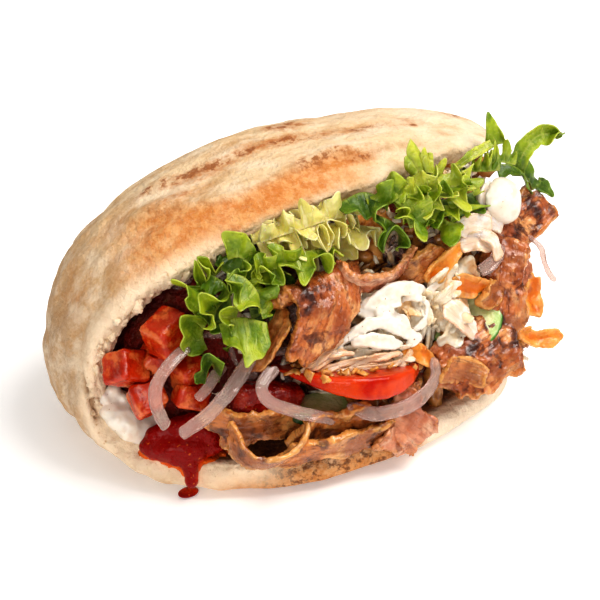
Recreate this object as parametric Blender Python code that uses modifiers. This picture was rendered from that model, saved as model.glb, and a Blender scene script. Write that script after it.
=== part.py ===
"""A doner kebab sandwich: an oval flatbread pocket, slit along its front and filled.

Metres, +Z up. X runs along the bread from its closed end (-X) to its open end (+X), and the
slit, called the mouth, faces -Y. The bread rests on the plane Z = 0, on its flattened underside.
"""
import math

import bmesh
import bpy
import numpy as np
from mathutils import Matrix, Vector
from mathutils.bvhtree import BVHTree

MM = 0.001
NAME = "doner_kebab_sandwich"

# The bread's driving sizes.
CLOSED_END = 90.5 * MM      # from the origin to the tip of the closed end
OPEN_END = 108 * MM       # the same towards the open end, before the mouth cuts it off
HEART = (0.0, 0.0, 42 * MM)   # the point inside that every direction is measured from
NOSE_Y = 9 * MM           # where the tips of both ends lie
NOSE_Z = 28 * MM
BREAD_H = 94.5 * MM         # height of the crown above the table
BREAD_T = 9.5 * MM        # thickness of the crumb and crust
LIP_ROUND = 2.6 * MM      # rounding of the torn lip
GAP = 0.35 * MM           # what touching pieces keep between them

# The bread's outline across its middle, (y, z) in millimetres, seen from the open end.
MID_OUTLINE = [
    (-52, 0), (-64, 6), (-70, 22), (-60, 48), (-42, 68), (-26, 81), (-10, 90), (8, 93),
    (31, 88.5), (51, 69.5), (61, 41), (54, 12), (38, 0), (0, -1), (-30, -1),
]
# The path of the lip over the outside of the bread, (x, y, z) in millimetres: along the top from
# the open end, down round the closed end, back along the bottom, and up behind the filling.
LIP_PATH = [
    (85, 0, 81), (62, -9, 86), (40, -15, 86), (12, -19, 85), (-11, -18, 85), (-30, -20, 81),
    (-44, -20, 77), (-59, -18, 71), (-70, -15, 65), (-79, -13, 56), (-84, -12, 47),
    (-87, -12, 36), (-87, -14, 24), (-82, -22, 13), (-73, -33, 7), (-61, -44, 5),
    (-46, -53, 5), (-28, -59, 5), (-6, -61, 5), (18, -59, 5), (41, -52, 4), (57, -44, 3),
    (66, -29, 1), (71, -8, 1), (74, 14, 1), (76, 32, 4), (78, 43, 18), (79, 46, 38), (81, 41, 57),
    (83, 28, 73), (85, 14, 80),
]
RINGS, SPOKES = 8, 38    # the net of faces from the back of the bread to its lip

# The mouth: a plane through the heart, facing outwards and up, over which the filling bulges.
MOUTH_OUT = Vector((0, -0.867, 0.498)).normalized()
MOUTH_ALONG = Vector((1, 0, 0))
MOUTH_UP = MOUTH_OUT.cross(MOUTH_ALONG)
MOUTH_BULGE = 36 * MM     # from the heart to the middle of the filling's face
HEAP_END = 76 * MM        # where the filling's heap ends in the open end

# Colours of the kinds of food.
KINDS = {
    "bread": ((0.82, 0.66, 0.46), 0.85),
    "meat": ((0.36, 0.17, 0.09), 0.55),
    "lettuce": ((0.36, 0.52, 0.09), 0.45),
    "tomato": ((0.66, 0.08, 0.03), 0.30),
    "onion": ((0.80, 0.70, 0.68), 0.35),
    "cabbage": ((0.86, 0.78, 0.68), 0.45),
    "cucumber": ((0.20, 0.36, 0.10), 0.35),
    "white_sauce": ((0.92, 0.89, 0.80), 0.25),
    "chili_sauce": ((0.45, 0.03, 0.01), 0.15),
    "crisp": ((0.80, 0.42, 0.12), 0.60),
}


def smooth_loop(angles, values):
    """Return a function of an angle: a smooth closed curve through values at rising angles."""
    a = np.concatenate([angles[-3:] - 2 * math.pi, angles, angles[:3] + 2 * math.pi])
    v = np.concatenate([values[-3:], values, values[:3]])
    slope = np.gradient(v, a)

    def at(angle):
        angle = (angle - angles[0]) % (2 * math.pi) + angles[0]
        i = np.clip(np.searchsorted(a, angle) - 1, 0, len(a) - 2)
        h = a[i + 1] - a[i]
        t = (angle - a[i]) / h
        return ((1 + 2 * t) * (1 - t) ** 2 * v[i] + t * (1 - t) ** 2 * h * slope[i]
                + t * t * (3 - 2 * t) * v[i + 1] + t * t * (t - 1) * h * slope[i + 1])

    return at


def loop_through(points):
    """The smooth closed curve radius(angle) through flat (u, v) points."""
    angles = np.arctan2(points[:, 1], points[:, 0])
    order = np.argsort(angles)
    return smooth_loop(angles[order], np.hypot(points[:, 0], points[:, 1])[order])


RADIUS_AT = loop_through(np.array(MID_OUTLINE) * MM - np.array(HEART[1:]))


def end_scale(x, closed=2.3, opened=2.2):
    """How much of the middle section is left at x: 1 in the middle, 0 at the tips."""
    left = np.maximum(1 - np.clip(-x / CLOSED_END, 0, 1) ** closed, 0) ** (1 / closed)
    right = np.maximum(1 - np.clip(x / OPEN_END, 0, 1) ** opened, 0) ** (1 / opened)
    return np.where(x < 0, left, right)


def bread_level(p):
    """Below 1 inside the whole, uncut bread, and above 1 outside."""
    wide = np.maximum(end_scale(p[:, 0]), 1e-4)
    high = np.maximum(end_scale(p[:, 0], opened=3.0), 1e-4)
    y = (p[:, 1] - NOSE_Y * (1 - wide)) / wide
    floor = NOSE_Z * (1 - high) ** 2
    crown = NOSE_Z * (1 - high) + BREAD_H * high
    z = (p[:, 2] - floor) / np.maximum(crown - floor, 1e-4) * BREAD_H
    y, z = y - HEART[1], z - HEART[2]
    return np.hypot(y, z) / RADIUS_AT(np.arctan2(z, y))


HEART_AT = np.array(HEART)
SPREAD = np.array([0.09, 0.058, 0.045])      # rays leave the heart scaled like the bread
LIP_RAYS = (np.array(LIP_PATH) * MM - HEART_AT) / SPREAD
LIP_RAYS /= np.linalg.norm(LIP_RAYS, axis=1)[:, None]


def opening_frame():
    """Where the whole opening, slit and open end together, faces, and two directions across it."""
    out = np.cross(LIP_RAYS, np.roll(LIP_RAYS, -1, axis=0)).sum(axis=0)
    out *= np.sign(out @ LIP_RAYS.sum(axis=0)) / np.linalg.norm(out)
    up = np.cross(out, (1, 0, 0))
    up /= np.linalg.norm(up)
    return out, np.cross(up, out), up


OUT, ALONG, UP = opening_frame()


def rays(psi, phi):
    """Directions psi away from the back of the bread, phi round the opening."""
    psi, phi = np.asarray(psi)[:, None], np.asarray(phi)[:, None]
    return (-OUT * np.cos(psi) + (ALONG * np.cos(phi) + UP * np.sin(phi)) * np.sin(psi)) * SPREAD


def bread_skin(directions):
    """Where rays from the heart leave the bread, flattened where it rests on the table."""
    near, far = np.zeros(len(directions)), np.full(len(directions), 4.0)
    for _ in range(34):
        mid = (near + far) / 2
        p = HEART_AT + directions * mid[:, None]
        inside = (bread_level(p) < 1) & (p[:, 0] > -CLOSED_END) & (p[:, 0] < OPEN_END)
        near, far = np.where(inside, mid, near), np.where(inside, far, mid)
    p = HEART_AT + directions * near[:, None]
    # A shallow ridge runs along the top, with a groove behind it, and the bread is a little uneven.
    top = np.clip((p[:, 2] - 60 * MM) / (25 * MM), 0, 1) * np.clip((84 * MM - p[:, 0]) / (30 * MM), 0, 1)
    ridge = np.exp(-((p[:, 1] + 4 * MM - 0.10 * p[:, 0]) / (6 * MM)) ** 2)
    groove = np.exp(-((p[:, 1] - 12 * MM - 0.10 * p[:, 0]) / (8 * MM)) ** 2)
    sway = 0.6 * MM * np.sin(p[:, 0] * 95) * np.sin(p[:, 1] * 120 + 1)
    p = p + np.outer(top * (1.2 * MM * ridge - 2.0 * MM * groove), [0, 0, 1])
    p = p + directions / np.linalg.norm(directions, axis=1)[:, None] * sway[:, None]
    p[:, 2] = np.maximum(p[:, 2], 0)
    return p


def lip_angles():
    """Psi of the lip as a smooth function of phi."""
    across, up, out = LIP_RAYS @ ALONG, LIP_RAYS @ UP, LIP_RAYS @ OUT
    psi = np.arctan2(np.hypot(across, up), -out)
    angles = np.arctan2(up, across)
    order = np.argsort(angles)
    return smooth_loop(angles[order], psi[order])


LIP_AT = lip_angles()


def bread_rings(inset=0.0, rings=RINGS, spokes=SPOKES, stop=1.0):
    """Rings of points over the bread, from its back to its lip, moved in by inset."""
    phi = np.arange(spokes) * 2 * math.pi / spokes
    net = []
    for k in range(rings + 1):
        psi = LIP_AT(phi) * stop * k / rings
        p = bread_skin(rays(psi, phi))
        if inset:
            step = 0.02
            at = np.maximum(psi, 3 * step)
            du = bread_skin(rays(at + step, phi)) - bread_skin(rays(at - step, phi))
            dv = bread_skin(rays(at, phi + step)) - bread_skin(rays(at, phi - step))
            n = np.cross(du, dv)
            n /= np.linalg.norm(n, axis=1)[:, None]
            ray = (p - HEART_AT) / np.linalg.norm(p - HEART_AT, axis=1)[:, None]
            square = np.maximum(np.abs(np.sum(n * ray, axis=1)), 0.45)
            p = p - ray * (inset / square)[:, None]
        net.append(p)
    return net


def clear_scene():
    """Empty the scene."""
    for obj in list(bpy.data.objects):
        bpy.data.objects.remove(obj, do_unlink=True)
    for group in list(bpy.data.collections):
        bpy.data.collections.remove(group)


clear_scene()
PART = bpy.data.collections.new(NAME)
CUTTERS = bpy.data.collections.new("cutters")
bpy.context.scene.collection.children.link(PART)
bpy.context.scene.collection.children.link(CUTTERS)


def material(kind):
    """The plain material of a kind of food."""
    if kind in bpy.data.materials:
        return bpy.data.materials[kind]
    colour, roughness = KINDS[kind]
    mat = bpy.data.materials.new(kind)
    mat.use_nodes = True
    shader = mat.node_tree.nodes["Principled BSDF"]
    shader.inputs["Base Color"].default_value = (*colour, 1)
    shader.inputs["Roughness"].default_value = roughness
    shader.inputs["Metallic"].default_value = 0
    mat.diffuse_color = (*colour, 1)
    return mat


def new_object(name, bm, kind):
    """Put a bmesh into the part's collection as a named object."""
    mesh = bpy.data.meshes.new(name)
    bm.normal_update()
    bm.to_mesh(mesh)
    bm.free()
    mesh.materials.append(material(kind))
    obj = bpy.data.objects.new(name, mesh)
    PART.objects.link(obj)
    return obj


def bake(obj):
    """Make the object's modifiers part of its mesh, in triangles, so that it keeps one form."""
    deps = bpy.context.evaluated_depsgraph_get()
    bm = bmesh.new()
    bm.from_object(obj, deps)
    bmesh.ops.triangulate(bm, faces=bm.faces)
    obj.modifiers.clear()
    bm.to_mesh(obj.data)
    bm.free()
    return obj


def loft(bm, net, first=None, last=None):
    """Faces between rings of points, closed to the points first and last where given."""
    rows = [[bm.verts.new(p) for p in ring] for ring in net]
    n = len(rows[0])
    for a, b in zip(rows, rows[1:]):
        for i in range(n):
            bm.faces.new((a[i], b[i], b[(i + 1) % n], a[(i + 1) % n]))
    for end, row, turn in ((first, rows[0], 1), (last, rows[-1], -1)):
        if end is not None:
            tip = bm.verts.new(end)
            for i in range(n):
                bm.faces.new((tip, row[i], row[(i + 1) % n])[::turn])
    bmesh.ops.recalc_face_normals(bm, faces=bm.faces)
    return rows


def make_bread():
    """The bread: its skin from the back to the lip, made a shell, with a rounded lip."""
    net = bread_rings()
    bm = bmesh.new()
    loft(bm, net[1:], first=net[0].mean(axis=0))
    facing = sum((f.normal.dot(f.calc_center_median() - Vector(HEART)) for f in bm.faces))
    if facing < 0:
        bmesh.ops.reverse_faces(bm, faces=bm.faces)
    bread = new_object("bread", bm, "bread")
    shell = bread.modifiers.new("Crumb and crust", "SOLIDIFY")
    shell.thickness = BREAD_T
    shell.offset = -1
    shell.use_even_offset = True
    lip = bread.modifiers.new("Torn lip", "BEVEL")
    lip.limit_method = "ANGLE"
    lip.angle_limit = math.radians(55)
    lip.width = LIP_ROUND
    lip.segments = 2
    return bake(bread)


# Where the filling's face lies in front of the heart, and the frame of a piece on it.


def face_out(along):
    """How far the filling's face stands out, at a distance along the bread."""
    left = min(max((-along - 25 * MM) / (62 * MM), 0), 2)
    right = min(max((along - 40 * MM) / (45 * MM), 0), 2)
    return MOUTH_BULGE - 31 * MM * left ** 2 - 10 * MM * right ** 2


def on_face(along, up, out=0.0):
    """A point by its place on the filling's face, and how far it stands out of that."""
    return Vector(HEART) + MOUTH_ALONG * along + MOUTH_UP * up + MOUTH_OUT * (face_out(along) + out)


def place(obj, along, up, out, turn=0, tilt=0, roll=0):
    """Set an object on the filling's face: millimetres, and degrees about its own axes.

    turn is in the plane of the face, tilt about the piece's length, roll about its width.
    """
    frame = Matrix((MOUTH_ALONG, MOUTH_UP, MOUTH_OUT)).transposed()
    own = (Matrix.Rotation(math.radians(turn), 3, "Z") @ Matrix.Rotation(math.radians(tilt), 3, "X")
           @ Matrix.Rotation(math.radians(roll), 3, "Y"))
    obj.rotation_euler = (frame @ own).to_euler()
    obj.location = on_face(along * MM, up * MM, out * MM)
    return obj


def sheet(name, kind, length, width, thick, bend=0, sweep=0, cup=0, ruffle=0, waves=3, taper=0,
          ragged=0.0, leaf=0.0, nx=6, ny=2, seed=1):
    """A slice, leaf, strip or flake, in millimetres: a bent grid given a thickness.

    bend curls it out of its plane along its length and sweep within it, both in degrees. cup
    raises its long edges, ruffle waves them, taper narrows its far end and leaf both ends.
    """
    chance = np.random.default_rng(seed)
    s = np.linspace(-1, 1, nx + 1)
    a, b = np.radians(sweep) * s / 2, np.radians(bend) * s / 2
    ahead = np.stack([np.cos(a) * np.cos(b), np.sin(a) * np.cos(b), np.sin(b)], 1) * length * MM / nx
    line = np.concatenate([[[0, 0, 0]], np.cumsum((ahead[1:] + ahead[:-1]) / 2, axis=0)])
    line -= (line[0] + line[-1]) / 2
    side = np.stack([-np.sin(a), np.cos(a), 0 * a], 1)
    face = np.cross(ahead, side)
    face /= np.linalg.norm(face, axis=1)[:, None]
    bm = bmesh.new()
    bmesh.ops.create_grid(bm, x_segments=nx, y_segments=ny, size=1)
    for v in bm.verts:
        i = int(round((v.co.x + 1) / 2 * nx))
        t = v.co.y
        half = width * MM / 2 * (1 - taper * (s[i] + 1) / 2) * (1 - 0.22 * s[i] ** 4)
        half *= 1 - leaf * abs(s[i]) ** 2.5
        if abs(t) > 0.99 or i in (0, nx):
            half *= 1 + ragged * chance.uniform(-1, 1)
        wave = math.sin(waves * math.pi * s[i] + seed + (1.3 if t > 0 else 0))
        rise = (cup * t * t + ruffle * abs(t) ** 1.5 * wave + 0.25 * ruffle * math.sin(2 * s[i] + seed)) * MM
        v.co = Vector(line[i] + side[i] * half * t + face[i] * rise)
    obj = new_object(name, bm, kind)
    body = obj.modifiers.new("Thickness", "SOLIDIFY")
    body.thickness = thick * MM
    body.offset = 0
    body.use_even_offset = True
    return bake(obj)


def block(name, kind, size, bevel, skew=0.0):
    """A diced or chunky piece: a bevelled box, a little out of square, in millimetres."""
    bm = bmesh.new()
    bmesh.ops.create_cube(bm, size=1)
    for v in bm.verts:
        x, y, z = v.co
        v.co = Vector((x * size[0] + skew * y * size[0], y * size[1] - skew * z * size[1],
                       z * size[2] + skew * x * size[2])) * MM
    obj = new_object(name, bm, kind)
    edge = obj.modifiers.new("Cut edges", "BEVEL")
    edge.width = bevel * MM
    edge.segments = 1
    edge.limit_method = "NONE"
    return bake(obj)


def disc(name, kind, radius, thick, bevel, keep=1.0, sides=28):
    """A round slice, or with keep below 1 the part of it nearest -Y, in millimetres."""
    bm = bmesh.new()
    bmesh.ops.create_cone(bm, cap_ends=True, segments=sides, radius1=radius * MM, radius2=radius * MM,
                          depth=thick * MM)
    if keep < 1:
        cut = (-1 + 2 * keep) * radius * MM
        geom = bm.verts[:] + bm.edges[:] + bm.faces[:]
        bmesh.ops.bisect_plane(bm, geom=geom, plane_co=(0, cut, 0), plane_no=(0, 1, 0), clear_outer=True)
        bmesh.ops.holes_fill(bm, edges=[e for e in bm.edges if e.is_boundary])
    obj = new_object(name, kind=kind, bm=bm)
    edge = obj.modifiers.new("Cut edges", "BEVEL")
    edge.width = bevel * MM
    edge.segments = 1
    edge.limit_method = "ANGLE"
    edge.angle_limit = math.radians(50)
    return bake(obj)


def blob(name, kind, radii, lumps=0.12, seed=1, turns=12, rows=7, flat=1.0):
    """A lump of something soft, in millimetres: a round body with smooth swellings."""
    chance = np.random.default_rng(seed)
    phase = chance.uniform(0, 6.28, 6)
    bm = bmesh.new()
    bmesh.ops.create_uvsphere(bm, u_segments=turns, v_segments=rows, radius=1)
    for v in bm.verts:
        x, y, z = v.co
        swell = 1 + lumps * (math.sin(3.1 * x + phase[0]) * math.sin(2.7 * y + phase[1])
                             + math.sin(4.3 * y + phase[2]) * math.sin(3.7 * z + phase[3])
                             + 0.6 * math.sin(5.2 * x + phase[4]))
        below = flat if z < 0 else 1.0
        v.co = Vector((x * radii[0], y * radii[1], z * radii[2] * below)) * MM * swell
    return bake(new_object(name, bm, kind))


# Fitting the pieces together: each is cut clear of those laid before it.


def is_closed(bm):
    """Whether every edge has two faces."""
    return bool(bm.faces) and all(len(e.link_faces) == 2 for e in bm.edges)


def tidy(bm):
    """Merge the faces that a cut split where that leaves the body closed, and drop loose scraps."""
    bmesh.ops.remove_doubles(bm, verts=bm.verts, dist=2e-6)
    for merged in (2e-5, 0):
        trial = bm.copy()
        if merged:
            bmesh.ops.dissolve_degenerate(trial, edges=trial.edges, dist=merged)
            bmesh.ops.dissolve_limit(trial, angle_limit=math.radians(0.1), verts=trial.verts, edges=trial.edges)
        bmesh.ops.triangulate(trial, faces=[f for f in trial.faces if len(f.verts) > 4])
        if is_closed(trial):
            break
        trial.free()
        trial = bm
    bm = trial
    left, parts = set(bm.faces), []
    while left:
        todo = [left.pop()]
        part = set(todo)
        while todo:
            for edge in todo.pop().edges:
                for other in edge.link_faces:
                    if other in left:
                        left.discard(other)
                        part.add(other)
                        todo.append(other)
        parts.append(part)
    parts.sort(key=lambda p: -sum(f.calc_area() for f in p))
    scraps = [f for part in parts[1:] for f in part]
    bmesh.ops.delete(bm, geom=scraps, context="FACES")
    bmesh.ops.delete(bm, geom=[v for v in bm.verts if not v.link_faces], context="VERTS")
    return bm


def box_round(obj):
    """The box round an object, along the object's own axes, in the world."""
    lo, hi = (Vector(f(v.co[i] for v in obj.data.vertices) for i in range(3)) for f in (min, max))
    bm = bmesh.new()
    bmesh.ops.create_cube(bm, size=1)
    for v in bm.verts:
        v.co = (lo + hi) / 2 + Vector(v.co[i] * (hi[i] - lo[i]) for i in range(3))
    bm.transform(obj.matrix_world)
    return bm


UNCUT = {}                # each piece's mesh as it was before its neighbours cut it


def shape_of(obj, style, grow):
    """A piece's shape in the world, moved out by grow: its own before any cut, twice as wide,
    its convex hull, its box, or what it is now."""
    if style == "box":
        bm = box_round(obj)
    elif style == "hull":
        bm = bmesh.new()
        for v in UNCUT[obj.name].vertices:
            bm.verts.new(obj.matrix_world @ v.co)
        bmesh.ops.convex_hull(bm, input=bm.verts)
        bmesh.ops.delete(bm, geom=[v for v in bm.verts if not v.link_faces], context="VERTS")
        bmesh.ops.recalc_face_normals(bm, faces=bm.faces)
    else:
        bm = bmesh.new()
        bm.from_mesh(obj.data if style == "now" else UNCUT[obj.name])
        bm.transform(obj.matrix_world)
        grow *= 2 if style == "wide" else 1
    if bm.calc_volume(signed=True) < 0:
        bmesh.ops.reverse_faces(bm, faces=bm.faces)
    bm.normal_update()
    moves = [v.normal * grow * (1 if style == "now" else min(v.calc_shell_factor(), 3)) for v in bm.verts]
    for v, m in zip(bm.verts, moves):
        v.co += m
    return bm


def boxes_meet(a, b):
    """Whether the bounding boxes of two bmeshes meet."""
    for i in range(3):
        alo, ahi = min(v.co[i] for v in a.verts), max(v.co[i] for v in a.verts)
        blo, bhi = min(v.co[i] for v in b.verts), max(v.co[i] for v in b.verts)
        if alo > bhi or blo > ahi:
            return False
    return True


def meet(a, b):
    """Whether two closed bmeshes share any space."""
    return boxes_meet(a, b) and bool(
        BVHTree.FromBMesh(a).overlap(BVHTree.FromBMesh(b)) or inside(a, b) or inside(b, a))


def subtract(obj, shapes):
    """The object's mesh with shapes cut from it, tidied, as a bmesh in the object's space."""
    cutters = []
    for shape in shapes:
        mesh = bpy.data.meshes.new("cutter")
        shape.to_mesh(mesh)
        cutter = bpy.data.objects.new("cutter", mesh)
        CUTTERS.objects.link(cutter)
        cutter.hide_render = True
        cutter.display_type = "WIRE"
        cutters.append(cutter)
    cut = obj.modifiers.new("Clear", "BOOLEAN")
    cut.operand_type = "COLLECTION"
    cut.collection = CUTTERS
    cut.operation = "DIFFERENCE"
    cut.solver = "EXACT"
    cut.use_self = True
    bpy.context.view_layer.update()
    result = bpy.data.meshes.new_from_object(obj.evaluated_get(bpy.context.evaluated_depsgraph_get()))
    obj.modifiers.clear()
    for cutter in cutters:
        mesh = cutter.data
        bpy.data.objects.remove(cutter, do_unlink=True)
        bpy.data.meshes.remove(mesh)
    bm = bmesh.new()
    bm.from_mesh(result)
    bpy.data.meshes.remove(result)
    return tidy(bm)


def cut_clear(obj, others, styles=("own", "wide", "hull", "box"), gap=GAP):
    """Cut obj clear of the others, leaving a gap, by the first style of cutter that works."""
    bpy.context.view_layer.update()
    own = shape_of(obj, "own", 0)
    volume = own.calc_volume()
    near = [other for other in others if meet(own, shape_of(other, styles[0], gap))]
    if not near:
        return
    for style in styles:
        bm = subtract(obj, [shape_of(other, style, gap) for other in near])
        if is_closed(bm) and 0 < bm.calc_volume() < volume * 1.01:
            world = bm.copy()
            world.transform(obj.matrix_world)
            if not any(meet(world, shape_of(other, "now", GAP * 0.3)) for other in near):
                break
    else:
        raise RuntimeError(f"{obj.name} can't be cut clear of its neighbours")
    bm.to_mesh(obj.data)
    bm.free()


def inside(a, b):
    """Whether the first point of a lies inside b."""
    tree = BVHTree.FromBMesh(b)
    a.verts.ensure_lookup_table()
    at, hits = a.verts[0].co.copy(), 0
    way = Vector((0.31, 0.47, 0.83)).normalized()
    for _ in range(50):
        hit = tree.ray_cast(at, way)
        if hit[0] is None:
            break
        hits += 1
        at = hit[0] + way * 1e-6
    return hits % 2 == 1


bread = make_bread()
UNCUT["bread"] = bread.data
laid = [bread]


def lay(obj, *where):
    """Place a piece on the filling's face and cut it clear of what is already there."""
    place(obj, *where)
    UNCUT[obj.name] = obj.data.copy()
    cut_clear(obj, laid)
    laid.append(obj)
    return obj


# Tomato: loose dice at the closed end, a wedge, and half a round slice in the middle.
DICE = [
    ((13, 12, 11), (-62, 0, 0), (20, 25, 10)),
    ((12, 11, 11), (-75, -8, -1), (-15, -20, 25)),
    ((11, 11, 8), (-72, -19, 0), (8, -30, 5)),
    ((12, 10, 10), (-66, -9, -7), (40, 10, -20)),
    ((11, 10, 9), (-57, -15, -6), (10, 30, 15)),
    ((11, 8, 8), (-59, -22, -3), (-25, 15, 0)),
]
for i, (size, where, turned) in enumerate(DICE, 1):
    lay(block(f"tomato_dice_{i}", "tomato", size, 1.1, 0.06), *where, *turned)
lay(block("tomato_wedge", "tomato", (24, 11, 9), 1.5, 0.08), -37, -30, -5, -18, 20, 0)
lay(disc("tomato_slice", "tomato", 26, 7, 1.2, keep=0.52, sides=24), -7, -25, -6, -14, -58, 0)

# Cucumber: slices with a dark rind.
lay(disc("cucumber_slice_1", "cucumber", 14, 3.5, 0.6, keep=0.7, sides=20), 43, -22, -1, 32, -34, 0)
lay(disc("cucumber_slice_2", "cucumber", 12, 3.5, 0.6, keep=0.7, sides=20), -20, -37, -7, -10, -60, 0)

# Roast meat: slices as they fall from the spit, some thick, some thin and curled.
MEAT = [
    ("big", dict(length=33, width=27, thick=8, bend=-34, cup=-2, ragged=0.12, seed=3), (-13, -7, 2), (-16, -8, 8)),
    ("thin_upright", dict(length=28, width=14, thick=2.6, bend=18, ragged=0.1, seed=5), (-35, -11, 0), (42, 74, 0)),
    ("torn", dict(length=30, width=15, thick=3.2, bend=-46, ruffle=1.2, ragged=0.2, nx=7, seed=6), (8, 5, 0), (-24, 26, 0)),
    ("open", dict(length=29, width=17, thick=4.5, bend=24, ruffle=1.2, ragged=0.2, seed=7), (26, 0, -1), (20, 24, 0)),
    ("upright", dict(length=33, width=18, thick=5, bend=-26, ragged=0.14, seed=8), (58, -18, 2), (52, -26, 0)),
    ("charred", dict(length=38, width=24, thick=6.5, bend=-30, cup=-2, ragged=0.14, nx=7, seed=9), (39, -36, 2), (10, -24, 0)),
    ("end_chunk", dict(length=23, width=15, thick=9, bend=-20, ragged=0.12, seed=10), (82, 1, 0), (12, -10, 0)),
    ("end_side", dict(length=30, width=20, thick=6, bend=-20, ragged=0.14, seed=20), (69, -10, -6), (64, -14, 0)),
    ("end_upper", dict(length=21, width=15, thick=4.5, bend=-30, ragged=0.16, seed=11), (65, -4, 1), (28, -20, 0)),
    ("pink", dict(length=25, width=15, thick=3.6, bend=-20, ragged=0.14, seed=12), (28, -51, 0), (6, 32, 0)),
    ("over_lip", dict(length=23, width=15, thick=3, bend=-34, ruffle=1, ragged=0.2, seed=13), (6, -52, 3), (24, 10, 0)),
    ("long_upper", dict(length=41, width=13, thick=3.6, bend=-18, ragged=0.14, nx=7, seed=14), (-12, -48, 0), (-6, 42, 0)),
    ("long_lower", dict(length=36, width=11, thick=3.2, bend=-14, ragged=0.16, nx=7, seed=15), (-16, -52, 1), (-2, 44, 0)),
    ("curled", dict(length=42, width=11, thick=2.6, bend=-170, ragged=0.12, nx=9, seed=16), (-38, -36, 3), (-8, 82, 0)),
    ("behind_curl", dict(length=31, width=16, thick=4, bend=-16, ragged=0.16, seed=17), (-45, -35, -3), (-32, 20, 0)),
    ("folded_tip", dict(length=20, width=11, thick=2.6, bend=70, ragged=0.14, seed=18), (29, -41, 11), (-14, 0, 0)),
    ("end_bit", dict(length=11, width=8, thick=4, ragged=0.2, nx=4, seed=19), (87, 14, 0), (0, 0, 0)),
]
for name, sizes, where, turned in MEAT:
    lay(sheet(f"meat_{name}", "meat", **sizes), *where, *turned)

# Onion: rings cut into flat curved strips.
ONION = [
    (dict(length=37, width=3.8, thick=1.5, sweep=72, nx=8), (-66, -18, 7), (66, 0, 0)),
    (dict(length=34, width=4.2, thick=1.5, sweep=-44, nx=7), (-54, -26, 5), (42, 6, 0)),
    (dict(length=20, width=7, thick=1.4, sweep=-20, cup=1, nx=4), (-52, -21, -1), (-14, 0, 0)),
    (dict(length=41, width=4.2, thick=1.6, sweep=84, nx=9), (-30, -31, 6), (-46, 0, 0)),
    (dict(length=46, width=5, thick=1.6, sweep=86, nx=9), (-1, -43, 9), (2, 0, 0)),
    (dict(length=30, width=4, thick=1.5, sweep=-60, nx=6), (56, -8, 8), (30, 0, 0)),
    (dict(length=31, width=4, thick=1.5, sweep=-70, nx=6), (77, -14, 2), (-68, 0, 0)),
]
for i, (sizes, where, turned) in enumerate(ONION, 1):
    lay(sheet(f"onion_strip_{i}", "onion", ny=1, **sizes), *where, *turned)

# Lettuce: frilled leaves, along the top of the mouth and at the closed end.
LETTUCE = [
    ("front", dict(length=44, width=27, ruffle=3.2, waves=2.4, bend=-30, seed=2), (-41, 4, 2), (68, -12, 0)),
    ("front_spear", dict(length=24, width=12, ruffle=1.8, waves=1.6, bend=-20, taper=0.4, nx=6, seed=4), (-57, 8, 3), (166, 0, 0)),
    ("pale", dict(length=43, width=20, ruffle=2.8, waves=2.6, cup=2, seed=5), (-3, 17, -3), (14, 14, 0)),
    ("frill", dict(length=28, width=12, ruffle=2.0, waves=2.0, nx=8, seed=6), (-12, 10, 3), (10, 10, 0)),
    ("middle", dict(length=33, width=18, ruffle=2.8, waves=2.2, bend=-30, seed=7), (13, 11, 3), (36, 0, 0)),
    ("mass", dict(length=50, width=22, ruffle=3.4, waves=3.0, bend=-16, seed=8), (42, 13, 3), (24, 0, 0)),
    ("over_lip", dict(length=19, width=14, ruffle=1.8, waves=1.6, bend=40, nx=6, seed=9), (38, 30, 4), (50, 0, 0)),
    ("rib", dict(length=33, width=9, ruffle=1.0, waves=1.2, bend=24, leaf=0.4, nx=7, seed=10), (62, 23, 1), (32, 0, 0)),
    ("end_curl", dict(length=42, width=16, ruffle=2.4, waves=2.0, bend=56, leaf=0.5, seed=11), (86, 18, 4), (24, 0, 0)),
]
for name, sizes, where, turned in LETTUCE:
    sizes.setdefault("nx", 9)
    sizes.setdefault("leaf", 0.45)
    lay(sheet(f"lettuce_{name}", "lettuce", thick=0.9, ny=3, **sizes), *where, *turned)

# Crisp fried onion: small jagged flakes.
CRISP = [
    (dict(length=26, width=8, bend=24), (35, -4, 4), (26, 18, 0)),
    (dict(length=13, width=9, bend=-30), (43, -13, 4), (10, 0, 0)),
    (dict(length=11, width=8, bend=-20), (50, -19, 5), (40, 0, 0)),
    (dict(length=13, width=9, bend=-40), (35, -25, 4), (60, 10, 0)),
    (dict(length=15, width=11, bend=-24), (17, -31, 5), (20, 0, 0)),
    (dict(length=16, width=9, bend=50), (72, -25, 1), (70, 0, 0)),
    (dict(length=22, width=6, bend=70, sweep=40), (67, -38, 6), (-14, 0, 0)),
]
for i, (sizes, where, turned) in enumerate(CRISP, 1):
    lay(sheet(f"fried_onion_{i}", "crisp", thick=1.8, ragged=0.3, nx=5, ny=1, seed=30 + i, **sizes), *where, *turned)

# Shredded cabbage, heaped, and the sauces over it and at the closed end.
lay(blob("white_sauce_slaw", "white_sauce", (21, 10, 5), seed=3, lumps=0.16, turns=10, rows=6), 5, -14, 4, -4, 0, 0)
lay(blob("cabbage_heap", "cabbage", (25, 14, 8), seed=2, turns=10, rows=5), 16, -14, -3, -8, 0, 0)
lay(blob("white_sauce_dollop", "white_sauce", (9, 9, 8), seed=5, lumps=0.05, rows=6), 63, 11, 6, 0, 0, 0)
lay(blob("white_sauce_left", "white_sauce", (12, 6, 5), seed=6, turns=10, rows=6), -77, -28, -4, -30, 0, 0)
lay(blob("chili_sauce", "chili_sauce", (14, 7, 4.5), seed=7, turns=10, rows=6), -64, -39, 0, -34, 0, 0)
lay(blob("chili_drip", "chili_sauce", (4, 9, 3), seed=8, lumps=0.08, turns=8, rows=6), -66, -48, 3, -14, -50, 0)


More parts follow.
